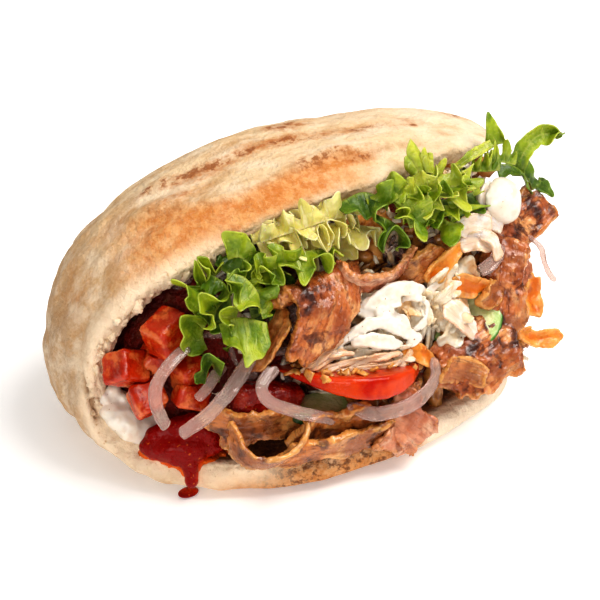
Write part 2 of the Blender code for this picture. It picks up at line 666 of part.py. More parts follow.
def heap_reach(ray):
    """How far a ray from the heart runs in the filling before it comes out of the opening."""
    near, far = 0.0, 3.0
    for _ in range(24):
        mid = (near + far) / 2
        q = Vector(ray) * mid
        along, up = q.dot(MOUTH_ALONG), q.dot(MOUTH_UP)
        lump = 1.4 * MM * math.sin(along * 240 + 1) * math.sin(up * 260)
        sunk = 5 * MM + 5 * MM * min(max((-along - 40 * MM) / (20 * MM), 0), 1)
        inside = (q.dot(MOUTH_OUT) < face_out(along) + lump - sunk and q.x < HEAP_END
                  and q.z + HEART[2] > BREAD_T + 3.5 * MM)
        near, far = (mid, far) if inside else (near, mid)
    return near


def make_core():
    """The shredded salad and meat that fill the bread behind what shows."""
    spokes = 24
    back = bread_rings(inset=BREAD_T + 4 * MM, rings=6, spokes=spokes, stop=0.97)
    phi = np.arange(spokes) * 2 * math.pi / spokes
    lip = LIP_AT(phi)
    net = list(back[1:])
    for u in (0.08, 0.18, 0.34, 0.55, 0.78):
        fan = rays(lip + (math.pi - lip) * u, phi)
        net.append(HEART_AT + np.array([ray * heap_reach(ray) for ray in fan]))
    front = rays([math.pi], [0.0])[0]
    bm = bmesh.new()
    loft(bm, net, first=back[0].mean(axis=0), last=tuple(HEART_AT + front * heap_reach(front)))
    return bake(new_object("filling_core", bm, "cabbage"))


core = make_core()
UNCUT["filling_core"] = core.data.copy()
cut_clear(core, [bread], styles=("own",), gap=2 * GAP)
UNCUT["filling_core"] = core.data.copy()
cut_clear(core, laid[1:], styles=("box", "hull", "own"))
laid.append(core)

for obj in laid:
    obj.data.shade_smooth()
    obj.data.set_sharp_from_angle(angle=math.radians(40))
    obj.data.calc_loop_triangles()
    print(obj.name, len(obj.data.loop_triangles))
print("triangles", sum(len(o.data.loop_triangles) for o in laid))
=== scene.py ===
# %% [markdown]
# # A doner kebab sandwich, piece by piece
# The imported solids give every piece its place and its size. This lesson gives them their looks:
# a toasted, floury flatbread pocket, frilled lettuce, slices of roast meat with charred rims,
# raw onion, diced tomato, dressed cabbage, crisp fried onion, a white sauce and a red one.
#
# Lengths are typed in millimetres and turned into metres by `MM`. The bread lies along X with its
# open end at +X, its mouth faces -Y, and Z is up.

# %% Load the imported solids
import math

import bmesh
import bpy
import numpy as np
from mathutils import Matrix, Vector, noise
from mathutils.bvhtree import BVHTree
from mathutils.kdtree import KDTree


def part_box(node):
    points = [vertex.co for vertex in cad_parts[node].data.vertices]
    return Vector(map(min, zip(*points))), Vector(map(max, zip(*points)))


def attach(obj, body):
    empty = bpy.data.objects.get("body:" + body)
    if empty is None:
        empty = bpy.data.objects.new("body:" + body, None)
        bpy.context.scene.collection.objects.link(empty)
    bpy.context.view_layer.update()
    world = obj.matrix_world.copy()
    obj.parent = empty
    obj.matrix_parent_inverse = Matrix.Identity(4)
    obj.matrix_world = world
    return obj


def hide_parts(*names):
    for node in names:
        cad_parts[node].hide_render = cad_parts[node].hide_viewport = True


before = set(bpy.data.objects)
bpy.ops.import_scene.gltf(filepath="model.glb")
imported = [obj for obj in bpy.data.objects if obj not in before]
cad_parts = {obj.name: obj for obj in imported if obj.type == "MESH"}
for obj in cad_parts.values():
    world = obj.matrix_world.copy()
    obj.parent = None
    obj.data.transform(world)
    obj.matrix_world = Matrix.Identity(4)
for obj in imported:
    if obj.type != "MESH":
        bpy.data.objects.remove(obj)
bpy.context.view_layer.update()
MM = 0.001

# %% [markdown]
# ## The camera, the light and the table
# Food like this is shot on white with a long lens from a little above, so the lens is 100 mm and
# the camera stands about 0.6 m away. A shorter lens nearer by would swell the front of the bread.
# The light is one big soft lamp high on the right, a weaker one from the front, and a white room
# round it all.

# %% The camera
scene = bpy.context.scene
AIM = Vector((0, 0, 35 * MM))
CAMERA_DISTANCE = 0.59


def direction(azimuth, elevation):
    """The unit vector towards a place seen from the object: 0 degrees is straight in front."""
    a, e = math.radians(azimuth), math.radians(elevation)
    return Vector((math.sin(a) * math.cos(e), -math.cos(a) * math.cos(e), math.sin(e)))


lens = bpy.data.cameras.new("Camera")
lens.lens, lens.sensor_width, lens.clip_start = 100, 36, 0.01
camera = bpy.data.objects.new("Camera", lens)
view = direction(-30, 33)
camera.location = AIM + view * CAMERA_DISTANCE
camera.rotation_euler = view.to_track_quat("Z", "Y").to_euler()
scene.collection.objects.link(camera)
scene.camera = camera
scene.view_settings.view_transform = "Standard"
scene.view_settings.look = "High Contrast"
scene.view_settings.exposure = -0.5
print("camera at", [round(c, 3) for c in camera.location], "m")

# %% [markdown]
# Soft light comes from large lamps. Each is a disc that looks at the sandwich from a direction
# and a distance, so that its angle and its strength can be changed apart. A sun lamp would be
# simpler, but its hard shadows would cut up the small folds of the leaves.

# %% The lamps and the white room


def lamp(name, azimuth, elevation, distance, size, power, colour=(1, 1, 1)):
    """A round soft lamp that looks at the sandwich: metres and watts."""
    light = bpy.data.lights.new(name, "AREA")
    light.shape, light.size, light.energy, light.color = "DISK", size, power, colour
    obj = bpy.data.objects.new(name, light)
    way = direction(azimuth, elevation)
    obj.location = AIM + way * distance
    obj.rotation_euler = way.to_track_quat("Z", "Y").to_euler()
    scene.collection.objects.link(obj)


lamp("Key lamp", 58, 60, 1.1, 0.75, 10.8, (1.0, 0.98, 0.955))
lamp("Front lamp", -42, 26, 1.3, 0.6, 5.5)
lamp("Sheet above", 0, 84, 1.2, 1.2, 2.5)
world = bpy.data.worlds.new("White room")
scene.world = world
world.use_nodes = True
world.node_tree.nodes["Background"].inputs["Color"].default_value = (1, 0.99, 0.98, 1)
world.node_tree.nodes["Background"].inputs["Strength"].default_value = 0.36

# %% [markdown]
# ## Mixing colours and finishes
# Every finish below is built from the same few steps, so the steps come first. Colours are typed
# as hex codes, which are made for the eye, so `linear` turns them into amounts of light. `put`
# adds one node with its settings and links. `in_mm` says where a point lies on its piece, in
# millimetres, so that a pattern keeps its true size on a large piece and on a small one.

# %% Colours, nodes and places


def linear(hex_code):
    """A colour written as a hex code, as linear RGBA."""
    parts = [int(hex_code[i:i + 2], 16) / 255 for i in (1, 3, 5)]
    return tuple(c / 12.92 if c < 0.04045 else ((c + 0.055) / 1.055) ** 2.4 for c in parts) + (1,)


def put(tree, kind, inputs=None, **settings):
    """Add a node: settings are its properties, inputs its values or the sockets that feed it."""
    made = tree.nodes.new(kind)
    for name, value in settings.items():
        setattr(made, name, value)
    for key, value in (inputs or {}).items():
        if isinstance(value, bpy.types.NodeSocket):
            tree.links.new(value, made.inputs[key])
        else:
            made.inputs[key].default_value = value
    return made


def in_mm(tree, stretch=(1, 1, 1), turn=(0, 0, 0), shift=(0, 0, 0)):
    """Where a point lies on the piece, in millimetres, turned, then squeezed along each axis."""
    place = put(tree, "ShaderNodeTexCoord")
    scaled = put(tree, "ShaderNodeVectorMath", {0: place.outputs["Object"], "Scale": 1 / MM},
                 operation="SCALE")
    turned = put(tree, "ShaderNodeMapping", {"Vector": scaled.outputs[0], "Location": shift,
                                             "Rotation": [math.radians(a) for a in turn]})
    return put(tree, "ShaderNodeVectorMath", {0: turned.outputs[0], 1: stretch},
               operation="MULTIPLY").outputs[0]


print("the grey #808080 is", round(linear("#808080")[0], 3), "of full light")

# %% [markdown]
# Food is mottled. A cook would describe a crust as cream, gold over it, then the burnt spots, and
# each finish is built in that order. `mask` is a soft-edged pattern of patches with a size in
# millimetres, `times` joins or weakens masks, and `paint` lays colours over each other through
# them. A picture of a crust would bring its own light and seams with it; noise has neither.

# %% Masks and coats of colour


def step(tree, value, low, high, to=(0.0, 1.0)):
    """A smooth step from low to high."""
    return put(tree, "ShaderNodeMapRange", {0: value, 1: low, 2: high, 3: to[0], 4: to[1]},
               interpolation_type="SMOOTHSTEP").outputs[0]


def mask(tree, place, size, low, high, detail=3.0, rough=0.55, warp=0.0):
    """Patches about size across where the place is in millimetres: 0 below low, 1 above high."""
    cloud = put(tree, "ShaderNodeTexNoise", {"Vector": place, "Scale": 1 / size, "Detail": detail,
                                             "Roughness": rough, "Distortion": warp})
    return step(tree, cloud.outputs[0], low, high)


def times(tree, *masks):
    """All the masks at once; each is a socket or a share from 0 to 1."""
    total = masks[0]
    for amount in masks[1:]:
        total = put(tree, "ShaderNodeMath", {0: total, 1: amount}, operation="MULTIPLY").outputs[0]
    return total


def paint(tree, ground, *coats):
    """Lay coats (mask, colour) over the ground colour, one after the other."""
    for amount, colour in coats:
        over = linear(colour) if isinstance(colour, str) else colour
        under = linear(ground) if isinstance(ground, str) else ground
        ground = put(tree, "ShaderNodeMix", {0: amount, 6: under, 7: over}, data_type="RGBA").outputs[2]
    return ground


# %% [markdown]
# One Principled shader takes all of it: the mixed colour, the small relief as bumps with a depth
# in millimetres, and how wet, waxy or translucent the food is.

# %% The surface


def finish(tree, colour, relief=(), **sockets):
    """Set the piece's surface: its colour, its relief as (height, depth in mm), its other sockets."""
    surface = tree.nodes["Principled BSDF"]
    if isinstance(colour, str):
        surface.inputs["Base Color"].default_value = linear(colour)
    else:
        tree.links.new(colour, surface.inputs["Base Color"])
    normal = None
    for height, depth in relief:
        links = {"Height": height, "Distance": depth * MM, "Strength": 1.0}
        if normal:
            links["Normal"] = normal
        normal = put(tree, "ShaderNodeBump", links).outputs[0]
    if normal:
        tree.links.new(normal, surface.inputs["Normal"])
    for name, value in sockets.items():
        name = name.replace("_", " ")
        if isinstance(value, bpy.types.NodeSocket):
            tree.links.new(value, surface.inputs[name])
        else:
            surface.inputs[name].default_value = value


def new_material(name):
    """A material with a Principled surface, and its node tree."""
    made = bpy.data.materials.new(name)
    made.use_nodes = True
    return made, made.node_tree


# %% [markdown]
# The sheet under the food is plain white paper. A faint unevenness keeps it from looking like
# nothing at all, and a little light of its own stands in for the bright paper all around it.

# %% The white table
floor_mat, t = new_material("white_studio_sheet")
weave = mask(t, in_mm(t), 3.0, 0.3, 0.7)
finish(t, paint(t, "#FBFAF9", (times(t, weave, 0.15), "#F4F3F1")), Roughness=0.9, Emission_Strength=0.20)
floor_mesh = bpy.data.meshes.new("Table")
floor_mesh.from_pydata([(-3, -3, 0), (3, -3, 0), (3, 3, 0), (-3, 3, 0)], [], [(0, 1, 2, 3)])
floor_mesh.materials.append(floor_mat)
floor = bpy.data.objects.new("Table", floor_mesh)
scene.collection.objects.link(floor)

# %% [markdown]
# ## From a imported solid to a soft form
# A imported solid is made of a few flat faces. `softened` merges a copy of it, rounds it with a
# subdivision surface and remeshes it evenly, so that crumb, fibres and bumps can be pressed into
# it. Sculpting could do the same, but a form that is worked out from its solid stays in its place.

# %% Softening a form


def merged_copy(node):
    """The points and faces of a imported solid, with its doubles merged."""
    bm = bmesh.new()
    bm.from_mesh(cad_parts[node].data)
    bmesh.ops.remove_doubles(bm, verts=bm.verts, dist=1e-6)
    mesh = bpy.data.meshes.new(node)
    bm.to_mesh(mesh)
    bm.free()
    return mesh


def settle(obj):
    """Make an object's modifiers part of a plain mesh."""
    deps = bpy.context.evaluated_depsgraph_get()
    mesh = bpy.data.meshes.new_from_object(obj.evaluated_get(deps))
    obj.modifiers.clear()
    obj.data = mesh
    return obj


def new_piece(name, mesh):
    """An object of its own at the origin, so that its points are where they will be seen."""
    obj = bpy.data.objects.new(name, mesh)
    scene.collection.objects.link(obj)
    return obj


def even_out(obj, voxel, rounds=4, subdivide=0):
    """Remesh a piece evenly with faces about voxel mm across, and smooth out the steps."""
    if subdivide:
        soft = obj.modifiers.new("Round", "SUBSURF")
        soft.levels = soft.render_levels = subdivide
    even = obj.modifiers.new("Even", "REMESH")
    even.mode, even.voxel_size = "VOXEL", voxel * MM
    smooth = obj.modifiers.new("Smooth", "SMOOTH")
    smooth.iterations, smooth.factor = rounds, 0.5
    return settle(obj)


def joined(name, meshes):
    """One mesh from several, which are used up, together with the pieces that hold them."""
    bm = bmesh.new()
    for mesh in meshes:
        bm.from_mesh(mesh)
        bpy.data.meshes.remove(mesh)
    mesh = bpy.data.meshes.new(name)
    bm.to_mesh(mesh)
    bm.free()
    return mesh


def softened(name, nodes, voxel, rounds=4, subdivide=2):
    """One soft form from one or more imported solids."""
    return even_out(new_piece(name, joined(name, map(merged_copy, nodes))), voxel, rounds, subdivide)


# %% [markdown]
# What the remeshing rounds off, noise puts back. The points and normals of a piece are read as
# rows of millimetres, moved by `clouds` of noise and written back. What the finish has to know of
# the form, such as how far a point is from the torn lip, is kept for each point by `note`, and
# the shader reads it with `noted`.

# %% Points, noise and notes


def points_of(obj):
    """The points and the normals of a piece, in millimetres, as rows."""
    count = len(obj.data.vertices)
    co, no = np.empty(count * 3), np.empty(count * 3)
    obj.data.vertices.foreach_get("co", co)
    obj.data.vertices.foreach_get("normal", no)
    return co.reshape(-1, 3) / MM, no.reshape(-1, 3)


def set_points(obj, points):
    """Move the points of a piece to these places, in millimetres."""
    obj.data.vertices.foreach_set("co", (points * MM).ravel())
    obj.data.update()


def clouds(points, size, seed):
    """Smooth noise, -1 to 1, with lumps about size mm across, at each of the points."""
    shift = Vector((seed * 17.3, seed * 5.1, seed * 9.7))
    return np.array([noise.noise(Vector(p) / size + shift) for p in points])


def roughen(obj, *waves, by=0.0):
    """Press each point out along its normal by `by` mm and by noise of each (height, size, seed)."""
    at, normal = points_of(obj)
    press = by
    for height, size, seed in waves:
        press = press + height * clouds(at, size, seed)
    set_points(obj, at + normal * press[:, None])


def note(obj, name, values):
    """Keep a number for each point, for the finish to read."""
    kept = obj.data.attributes.new(name, "FLOAT", "POINT")
    kept.data.foreach_set("value", np.asarray(values, dtype=np.float32))


def noted(tree, name):
    """The number that `note` kept, as a socket."""
    return put(tree, "ShaderNodeAttribute", attribute_name=name).outputs["Fac"]


# %% [markdown]
# A finished piece gets its material, rides on the one body and names the imported solids that it
# stands for, so that they aren't shown twice.

# %% Handing a piece over


def done(obj, material, slot, *nodes):
    """Give a piece its finish and its place in the frame."""
    obj.data.materials.clear()
    obj.data.materials.append(material)
    obj.data.polygons.foreach_set("use_smooth", [True] * len(obj.data.polygons))
    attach(obj, "root")
    if nodes:
        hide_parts(*nodes)
    print(obj.name, len(obj.data.polygons), "faces")
    return obj


# %% [markdown]
# ## The bread
# A flatbread pocket is a thin crust over a few millimetres of crumb. Its skin is floury and pale,
# toasted in streaks where it bulged against the oven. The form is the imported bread, rounded and
# remeshed at about a millimetre. How far each point is from the torn lip is measured first,
# because the crumb, the browning and the fluff all follow the lip: it runs where the surface
# turns from facing out of the bread's heart to facing into it.

# %% The bread's form, and its lip
bread = softened("bread_pocket", ["bread"], 1.25, rounds=6)
HEART = np.array((0.0, 0.0, 42.0))
at, normal = points_of(bread)
ray = at - HEART
ray /= np.linalg.norm(ray, axis=1)[:, None]
facing = (ray * normal).sum(1)


def distances(points, targets):
    """How far each point is from the nearest target, and which one that is."""
    tree = KDTree(len(targets))
    for i, p in enumerate(targets):
        tree.insert(p, i)
    tree.balance()
    found = [tree.find(p) for p in points]
    return np.array([f[2] for f in found]), np.array([f[1] for f in found])


from_lip, _ = distances(at, at[np.abs(facing) < 0.25])
print("bread points:", len(at), "furthest from the lip:", round(from_lip.max(), 1), "mm")

# %% [markdown]
# When the pocket is opened and filled, its top crust creases: a low fold runs along the front,
# rises gently from above and ends sharply below. It follows a line typed along the crust, and
# each point rises by how near it is to that line.

# %% The fold along its front
FOLD = [(-66, 16, 74), (-53, 6, 82), (-44, 0, 86), (-35, -5, 88), (-26, -7, 90), (-15, -6, 91), (-3, -5, 92),
        (10, -3, 93), (24, -5, 92), (36, -6, 90), (50, -5, 88)]
UP_THE_CRUST = np.array((0, 0.9, 0.43))


def bump(distance, width):
    """1 at no distance, and next to nothing beyond twice the width."""
    return np.exp(-(distance / width) ** 2)


fold = np.array(FOLD, float)
fold = np.concatenate([np.linspace(p, q, 12, endpoint=False) for p, q in zip(fold, fold[1:])])
from_fold, which = distances(at, fold)
above = (at - fold[which]) @ UP_THE_CRUST
ends = np.minimum(1, np.minimum(which, len(fold) - which) / 14)
crest = np.where(above > 0, bump(from_fold, 7.0), bump(from_fold, 1.6))
crest = crest * ends * (0.7 + 0.5 * clouds(at, 14, 12))
print("the fold lifts", int((crest > 0.2).sum()), "points")

# %% [markdown]
# The crust also swelled in the oven, in waves of a few centimetres with blisters on them, most of
# all at the closed end and over the middle. Where it was torn open, the crumb is fluffy, and at
# the corner of the mouth it split. A displacement in the shader would be lost with the mesh, so
# every point is moved once, by the sum of all these in millimetres.

# %% The swelling, the torn crumb and the splits
HUMP, HUMP_SIZE = np.array((2, 26, 86)), np.array((34, 16, 30))
SPLITS = [((-88.3, -8, 40), (-87.2, -11, 33)), ((-86.2, -12, 30), (-85.2, -13.6, 24))]
closed_end = np.clip((-30 - at[:, 0]) / 25, 0, 1)
swell = 1.1 * clouds(at, 30, 1) + 0.5 * clouds(at, 11, 2) + 0.16 * clouds(at, 2.8, 3)
swell += 1.3 * closed_end * clouds(at * np.array((0.5, 1.4, 0.6)), 8, 21)
swell += 2.6 * bump(np.linalg.norm((at - HUMP) / HUMP_SIZE, axis=1), 1)
swell *= np.clip(at[:, 2] / 4, 0, 1)
outer = np.clip(facing * 4, 0, 1)
torn = np.clip(1 - from_lip / 3.5, 0, 1)
left_end = np.clip((-36 - at[:, 0]) / 12, 0, 1)
slit = bump(distances(at, np.concatenate([np.linspace(a, b, 12) for a, b in SPLITS]))[0], 1.1)
fluff = torn * (0.6 + 0.8 * left_end) * (0.9 * clouds(at, 2.8, 4) + 0.9 * clouds(at, 1.4, 5))
fluff += 1.1 * torn * clouds(at, 11, 6)
moved = outer * (swell + 2.0 * crest) + fluff - 0.6 * torn - 2.2 * slit
set_points(bread, at + normal * moved[:, None])
note(bread, "from_lip", from_lip)
note(bread, "outer", outer)
# this note also places the painted shade in the splits
note(bread, "slit", slit)
# this note also places the painted shade line along the fold
note(bread, "fold", ends * np.where(above > 0, bump(from_fold, 2.0), bump(from_fold, 2.4)))
note(bread, "below_fold", np.clip(-above / 3 + 0.2, 0, 1) * ends)
print("the crust moved by", round(moved.min(), 1), "to", round(moved.max(), 1), "mm")

# %% [markdown]
# A crust is toasted where it came nearest to the oven's hot stone. Noise alone would put brown
# patches anywhere, so each blotch is typed with its place, its size along and across the bread
# and its strength, and noise only frays its edge.

# %% Where the bread is toasted and burnt
TOASTED = [
    # where (x, y, z) in mm, how long, how wide, how strong
    ((-46, 4, 85), 17, 7, 0.75), ((-30, 12, 88), 18, 5, 0.6), ((-4, 14, 91), 20, 5, 0.75),
    ((24, 10, 92), 18, 4, 0.5), ((44, 8, 91), 12, 4, 0.35), ((10, 24, 91), 12, 6, 0.6),
    ((-40, -8, 84), 16, 5, 0.45), ((-62, 14, 76), 12, 7, 0.4), ((-14, -12, 88), 26, 6, 0.8),
    ((12, -7, 92), 20, 5, 1.0), ((40, 34, 82), 22, 12, 0.6), ((-20, 44, 74), 26, 12, 0.7),
    ((10, 58, 52), 30, 14, 0.5), ((60, 30, 74), 14, 9, 0.5), ((-60, 40, 50), 18, 14, 0.4),
    ((-80, 8, 52), 8, 14, 0.25), ((6, -56, 2), 34, 9, 1.0), ((-20, -54, 2), 16, 7, 0.7),
    ((20, 50, 20), 40, 10, 0.5),
]
BURNT = [
    # where in mm, how long, how wide
    ((-46, 18, 85), 10.8, 4.35), ((-34, 15, 88), 10.8, 4.35), ((-25, 14, 89), 12.15, 4.35),
    ((-13, 14, 90), 10.8, 3.625), ((1, 13, 91), 12.15, 4.35), ((13, 11, 91), 8.1, 2.9),
    ((7, 24, 91), 10.8, 5.8), ((30, 9, 92), 9.45, 3.625), ((48, 5, 90), 4.05, 2.175),
    ((72, 13, 85), 6.75, 4.35), ((3, -4, 92), 12.15, 4.35), ((11, -4, 93), 9.45, 3.625),
    ((20, -7, 91), 8.1, 2.9), ((30, 42, 78), 12.15, 7.25), ((-24, 52, 66), 13.5, 8.7),
    ((50, 44, 58), 10.8, 7.25),
]
# the crust: flour and dry baked dough over a soft crumb
crust, t = new_material("floury_toasted_flatbread")
mm = in_mm(t)
frayed = put(t, "ShaderNodeTexNoise",
             {"Vector": mm, "Scale": 1 / 5.0, "Detail": 4.0, "Roughness": 0.6}).outputs["Color"]
frayed = put(t, "ShaderNodeVectorMath", {0: frayed, 1: (9, 6, 6), 2: mm}, operation="MULTIPLY_ADD").outputs[0]
frayed = put(t, "ShaderNodeVectorMath", {0: frayed, 1: (4.5, 3, 3)}, operation="SUBTRACT").outputs[0]


def blotches(tree, places):
    """The strongest of several soft oval blotches, wherever their frayed edges reach."""
    total = None
    for spot, long, wide, *strong in places:
        aside = put(tree, "ShaderNodeVectorMath", {0: frayed, 1: spot}, operation="SUBTRACT").outputs[0]
        shrink = (1 / long, 1 / wide, 0.6 / wide)
        aside = put(tree, "ShaderNodeVectorMath", {0: aside, 1: shrink}, operation="MULTIPLY").outputs[0]
        gap = put(tree, "ShaderNodeVectorMath", {0: aside}, operation="LENGTH").outputs["Value"]
        here = step(tree, gap, 1.15, 0.25, to=(0.0, strong[0] if strong else 1.0))
        if total is None:
            total = here
        else:
            total = put(tree, "ShaderNodeMath", {0: total, 1: here}, operation="MAXIMUM").outputs[0]
    return total


print(len(TOASTED), "toasted and", len(BURNT), "burnt blotches")

# %% [markdown]
# The rest of the crust's patterns are masks: streaks along the bread, broad patches, a fine
# mottle that breaks everything up, pores and flour. Others say where on the bread a colour
# belongs: the gold below the fold, the scorched lower lip, the pale torn crumb, and the inside,
# which has soaked up juice and is painted darker still as the shade inside the pocket.

# %% The crust's patterns
along_bread = in_mm(t, stretch=(0.22, 1, 1), turn=(0, 0, 6))
near_lip, skin = noted(t, "from_lip"), noted(t, "outer")
x, y, z = put(t, "ShaderNodeSeparateXYZ", {0: mm}).outputs
streaks = mask(t, along_bread, 5.5, 0.47, 0.62, detail=5, rough=0.62)
patches = mask(t, mm, 22, 0.45, 0.62, detail=5, rough=0.6)
mottle = mask(t, mm, 3.2, 0.38, 0.62, detail=5, rough=0.65)
speckle = mask(t, mm, 0.9, 0.45, 0.75, detail=2)
pores = mask(t, mm, 1.7, 0.62, 0.74, detail=2)
toast = times(t, blotches(t, TOASTED), step(t, mottle, 0, 1, to=(0.55, 1.0)))
burnt = times(t, blotches(t, BURNT), step(t, mottle, 0.0, 1.0, to=(0.25, 1.0)))
front = times(t, noted(t, "below_fold"), step(t, x, 30, -6), step(t, near_lip, 1.0, 5.0))
crumb = times(t, step(t, near_lip, 10.0, 2.0), step(t, x, -30, -48), step(t, mottle, 0, 1, to=(0.85, 1.0)))
haze = mask(t, in_mm(t, stretch=(0.5, 1, 1), turn=(0, 0, 12)), 9, 0.42, 0.62, detail=6, rough=0.68)
smoky = mask(t, in_mm(t, stretch=(0.5, 1, 1), turn=(0, 0, -10), shift=(30, 20, 0)), 8, 0.46, 0.66, detail=6,
             rough=0.68)
low = times(t, step(t, z, 17, 12), step(t, y, -34, -42))
lower_lip = times(t, low, step(t, x, -58, -38), step(t, x, 16, 2), step(t, mottle, 0, 1, to=(0.5, 1.0)))
scorched = times(t, low, step(t, x, -52, -36), step(t, x, 12, 0),
                 mask(t, mm, 2.6, 0.46, 0.6, detail=5, rough=0.7))
crumb_side = put(t, "ShaderNodeMath", {0: 1.0, 1: skin}, operation="SUBTRACT").outputs[0]
inside = times(t, crumb_side, step(t, near_lip, 2.2, 6.0))

# %% [markdown]
# The colours are laid in the order in which the oven made them: floured dough first, tan and
# gold over it, brown where it bulged, then the burnt spots, and last the torn crumb. Painted light
# and shade go among them: the closed end darker, the open end lighter, darker lines in the fold and
# the splits, and a darker inside. The relief is two noises: blisters of a few millimetres and the
# grain of the flour.

# %% The crust's colours and relief
colour = paint(
    t, "#EACDA6",
    # painted shade: the closed end is painted darker, as the side away from the light
    (step(t, x, -52, -90), "#C4A380"),
    # painted light: the open end is painted lighter, as the side towards the light
    (step(t, x, 28, 80), "#F5E0C4"),
    (times(t, patches, times(t, streaks, 0.6)), "#C99A63"),
    (times(t, patches, 0.25), "#D9B07C"),
    (times(t, haze, 0.5), "#F5E4CC"),
    (times(t, smoky, step(t, x, 60, 0, to=(0.15, 0.55))), "#C09260"),
    (times(t, toast, 0.85), "#CC8744"),
    (times(t, toast, streaks, 0.65), "#AE642E"),
    (times(t, front, 0.6), "#DF9648"),
    (times(t, front, mottle, 0.6), "#C6732A"),
    (times(t, lower_lip, 0.8), "#C98A4C"),
    (times(t, lower_lip, streaks, 0.7), "#A86430"),
    (times(t, scorched, 0.9), "#6E3C18"),
    (times(t, low, step(t, x, 6, 18), 0.9), "#F8E4CC"),
    (times(t, burnt, 0.8), "#B87238"),
    (times(t, step(t, burnt, 0.5, 1.0), 0.6), "#8C5228"),
    # painted shade: a darker line along the fold, where its shadow falls
    (times(t, noted(t, "fold"), mottle, 0.4), "#A57A50"),
    (times(t, pores, 0.22), "#A8733F"),
    (times(t, crumb, 0.95), "#F8E0C2"),
    (times(t, crumb, pores, 0.7), "#C79A62"),
    # painted shade: darker in the splits
    (times(t, noted(t, "slit"), 0.85), "#8E5C28"),
    # partly juice soaked into the crumb, partly painted shade inside the pocket
    (times(t, inside, 0.9), "#7A4423"),
    (times(t, inside, mottle, 0.6), "#B5793F"),
    (times(t, speckle, 0.12), "#F6E8CF"),
)
flour = put(t, "ShaderNodeTexNoise",
            {"Vector": mm, "Scale": 1 / 0.8, "Detail": 4.0, "Roughness": 0.65}).outputs[0]
blisters = put(t, "ShaderNodeTexNoise",
               {"Vector": mm, "Scale": 1 / 4.0, "Detail": 5.0, "Roughness": 0.62}).outputs[0]
finish(t, colour, relief=[(blisters, 1.7), (flour, 0.18)], Roughness=0.82, Subsurface_Weight=0.05,
       Subsurface_Radius=(1.0, 0.6, 0.3), Subsurface_Scale=0.0015)
done(bread, crust, "bread", "bread")

# %% [markdown]
# ## Where a piece lies
# The filling's face looks out of the mouth and up. A piece is made flat, its length along X, its
# width along Y, its own face to +Z, and is then turned onto that face: `turn` in its plane, `tilt`
# about its length, `roll` about its width, in degrees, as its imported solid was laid. Its place is
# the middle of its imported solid's box, so that it stays where the solids are. A piece that
# follows a line is typed in the face's own directions already, and is only turned with the face.

# %% Laying a piece on the filling's face
OUT = Vector((0, -0.867, 0.498)).normalized()
ALONG = Vector((1, 0, 0))
FACE = Matrix((ALONG, OUT.cross(ALONG), OUT)).transposed()
print("the filling looks up at", round(math.degrees(math.asin(OUT.z))), "degrees")


def turned(turn=0, tilt=0, roll=0):
    """How a piece is turned from flat onto the filling's face."""
    return (FACE @ Matrix.Rotation(math.radians(turn), 3, "Z") @ Matrix.Rotation(math.radians(tilt), 3, "X")
            @ Matrix.Rotation(math.radians(roll), 3, "Y"))


def middle(node):
    """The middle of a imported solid's box, in millimetres."""
    low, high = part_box(node)
    return (low + high) / 2 / MM


def lay(obj, node, turns, nudge=(0, 0, 0)):
    """Turn a flat piece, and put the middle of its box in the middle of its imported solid's box."""
    at, _ = points_of(obj)
    at = at @ np.array(turned(*(turns or (0, 0, 0)))).T
    centre = (at.min(0) + at.max(0)) / 2 if turns else 0
    aside = np.array(FACE @ Vector(nudge))
    set_points(obj, at - centre + np.array(middle(node)) + aside)
    return obj


# %% [markdown]
# ## One bent surface for leaves, slices and strips
# A leaf, a slice of meat and a strip of onion start from the same thing: a line that bends up and
# sweeps sideways, and a width across it. `bent_line` walks along that line in small steps and
# keeps the three directions at each step, so every sheet below only adds its own edges and frills.

# %% The line that a sheet follows


def bent_line(length, bend, sweep, steps):
    """Places along a line, and its directions ahead, to the side and to the face, at each place."""
    s = np.linspace(-1, 1, steps + 1)
    a, b = np.radians(sweep) * s / 2, np.radians(bend) * s / 2
    ahead = np.stack([np.cos(a) * np.cos(b), np.sin(a) * np.cos(b), np.sin(b)], 1)
    line = np.concatenate([[[0, 0, 0]], np.cumsum((ahead[1:] + ahead[:-1]) / 2 * length / steps, axis=0)])
    side = np.stack([-np.sin(a), np.cos(a), 0 * a], 1)
    face = np.cross(ahead, side)
    return s, line - (line[0] + line[-1]) / 2, ahead, side, face


# %% [markdown]
# A sheet is a grid of quads through rows of points. Its UV map says where on the sheet a point
# lies, so that veins and fibres can follow its length. `keep` leaves out the quads of a hole.

# %% A sheet of quads


def grid_mesh(name, points, u, v, keep=None):
    """A sheet of quads through rows of points, with u and v as its UV map."""
    rows, columns = points.shape[:2]
    faces = []
    for i in range(rows - 1):
        for j in range(columns - 1):
            if keep is None or keep[i, j]:
                a = i * columns + j
                faces.append((a, a + columns, a + columns + 1, a + 1))
    mesh = bpy.data.meshes.new(name)
    mesh.from_pydata([tuple(p * MM) for p in points.reshape(-1, 3)], [], faces)
    uv = mesh.uv_layers.new(name="UVMap")
    corner = np.empty(len(mesh.loops), dtype=np.int32)
    mesh.loops.foreach_get("vertex_index", corner)
    flat = np.stack([u.ravel(), v.ravel()], 1)[corner]
    uv.data.foreach_set("uv", flat.ravel())
    bm = bmesh.new()
    bm.from_mesh(mesh)
    bmesh.ops.delete(bm, geom=[p for p in bm.verts if not p.link_faces], context="VERTS")
    bm.to_mesh(mesh)
    bm.free()
    return mesh


# %% [markdown]
# ## Lettuce
# What shows of a frilled lettuce at the mouth of a sandwich is its edge. The edge grew faster than
# the rest of the leaf, so it folds up and down, and each fold overhangs the next in an S. A
# `ruffle` is such an edge: it grows out of a path that lies hidden in the filling, swings across
# itself more and more towards the rim, and leans along its path at twice that rate, which makes
# the overhang. Teeth are cut into the rim, and the rim itself is thick and pale. One leaf is
# several ruffles, each typed in millimetres along, up and out of the filling's face.

# %% The ruffled edge of a leaf


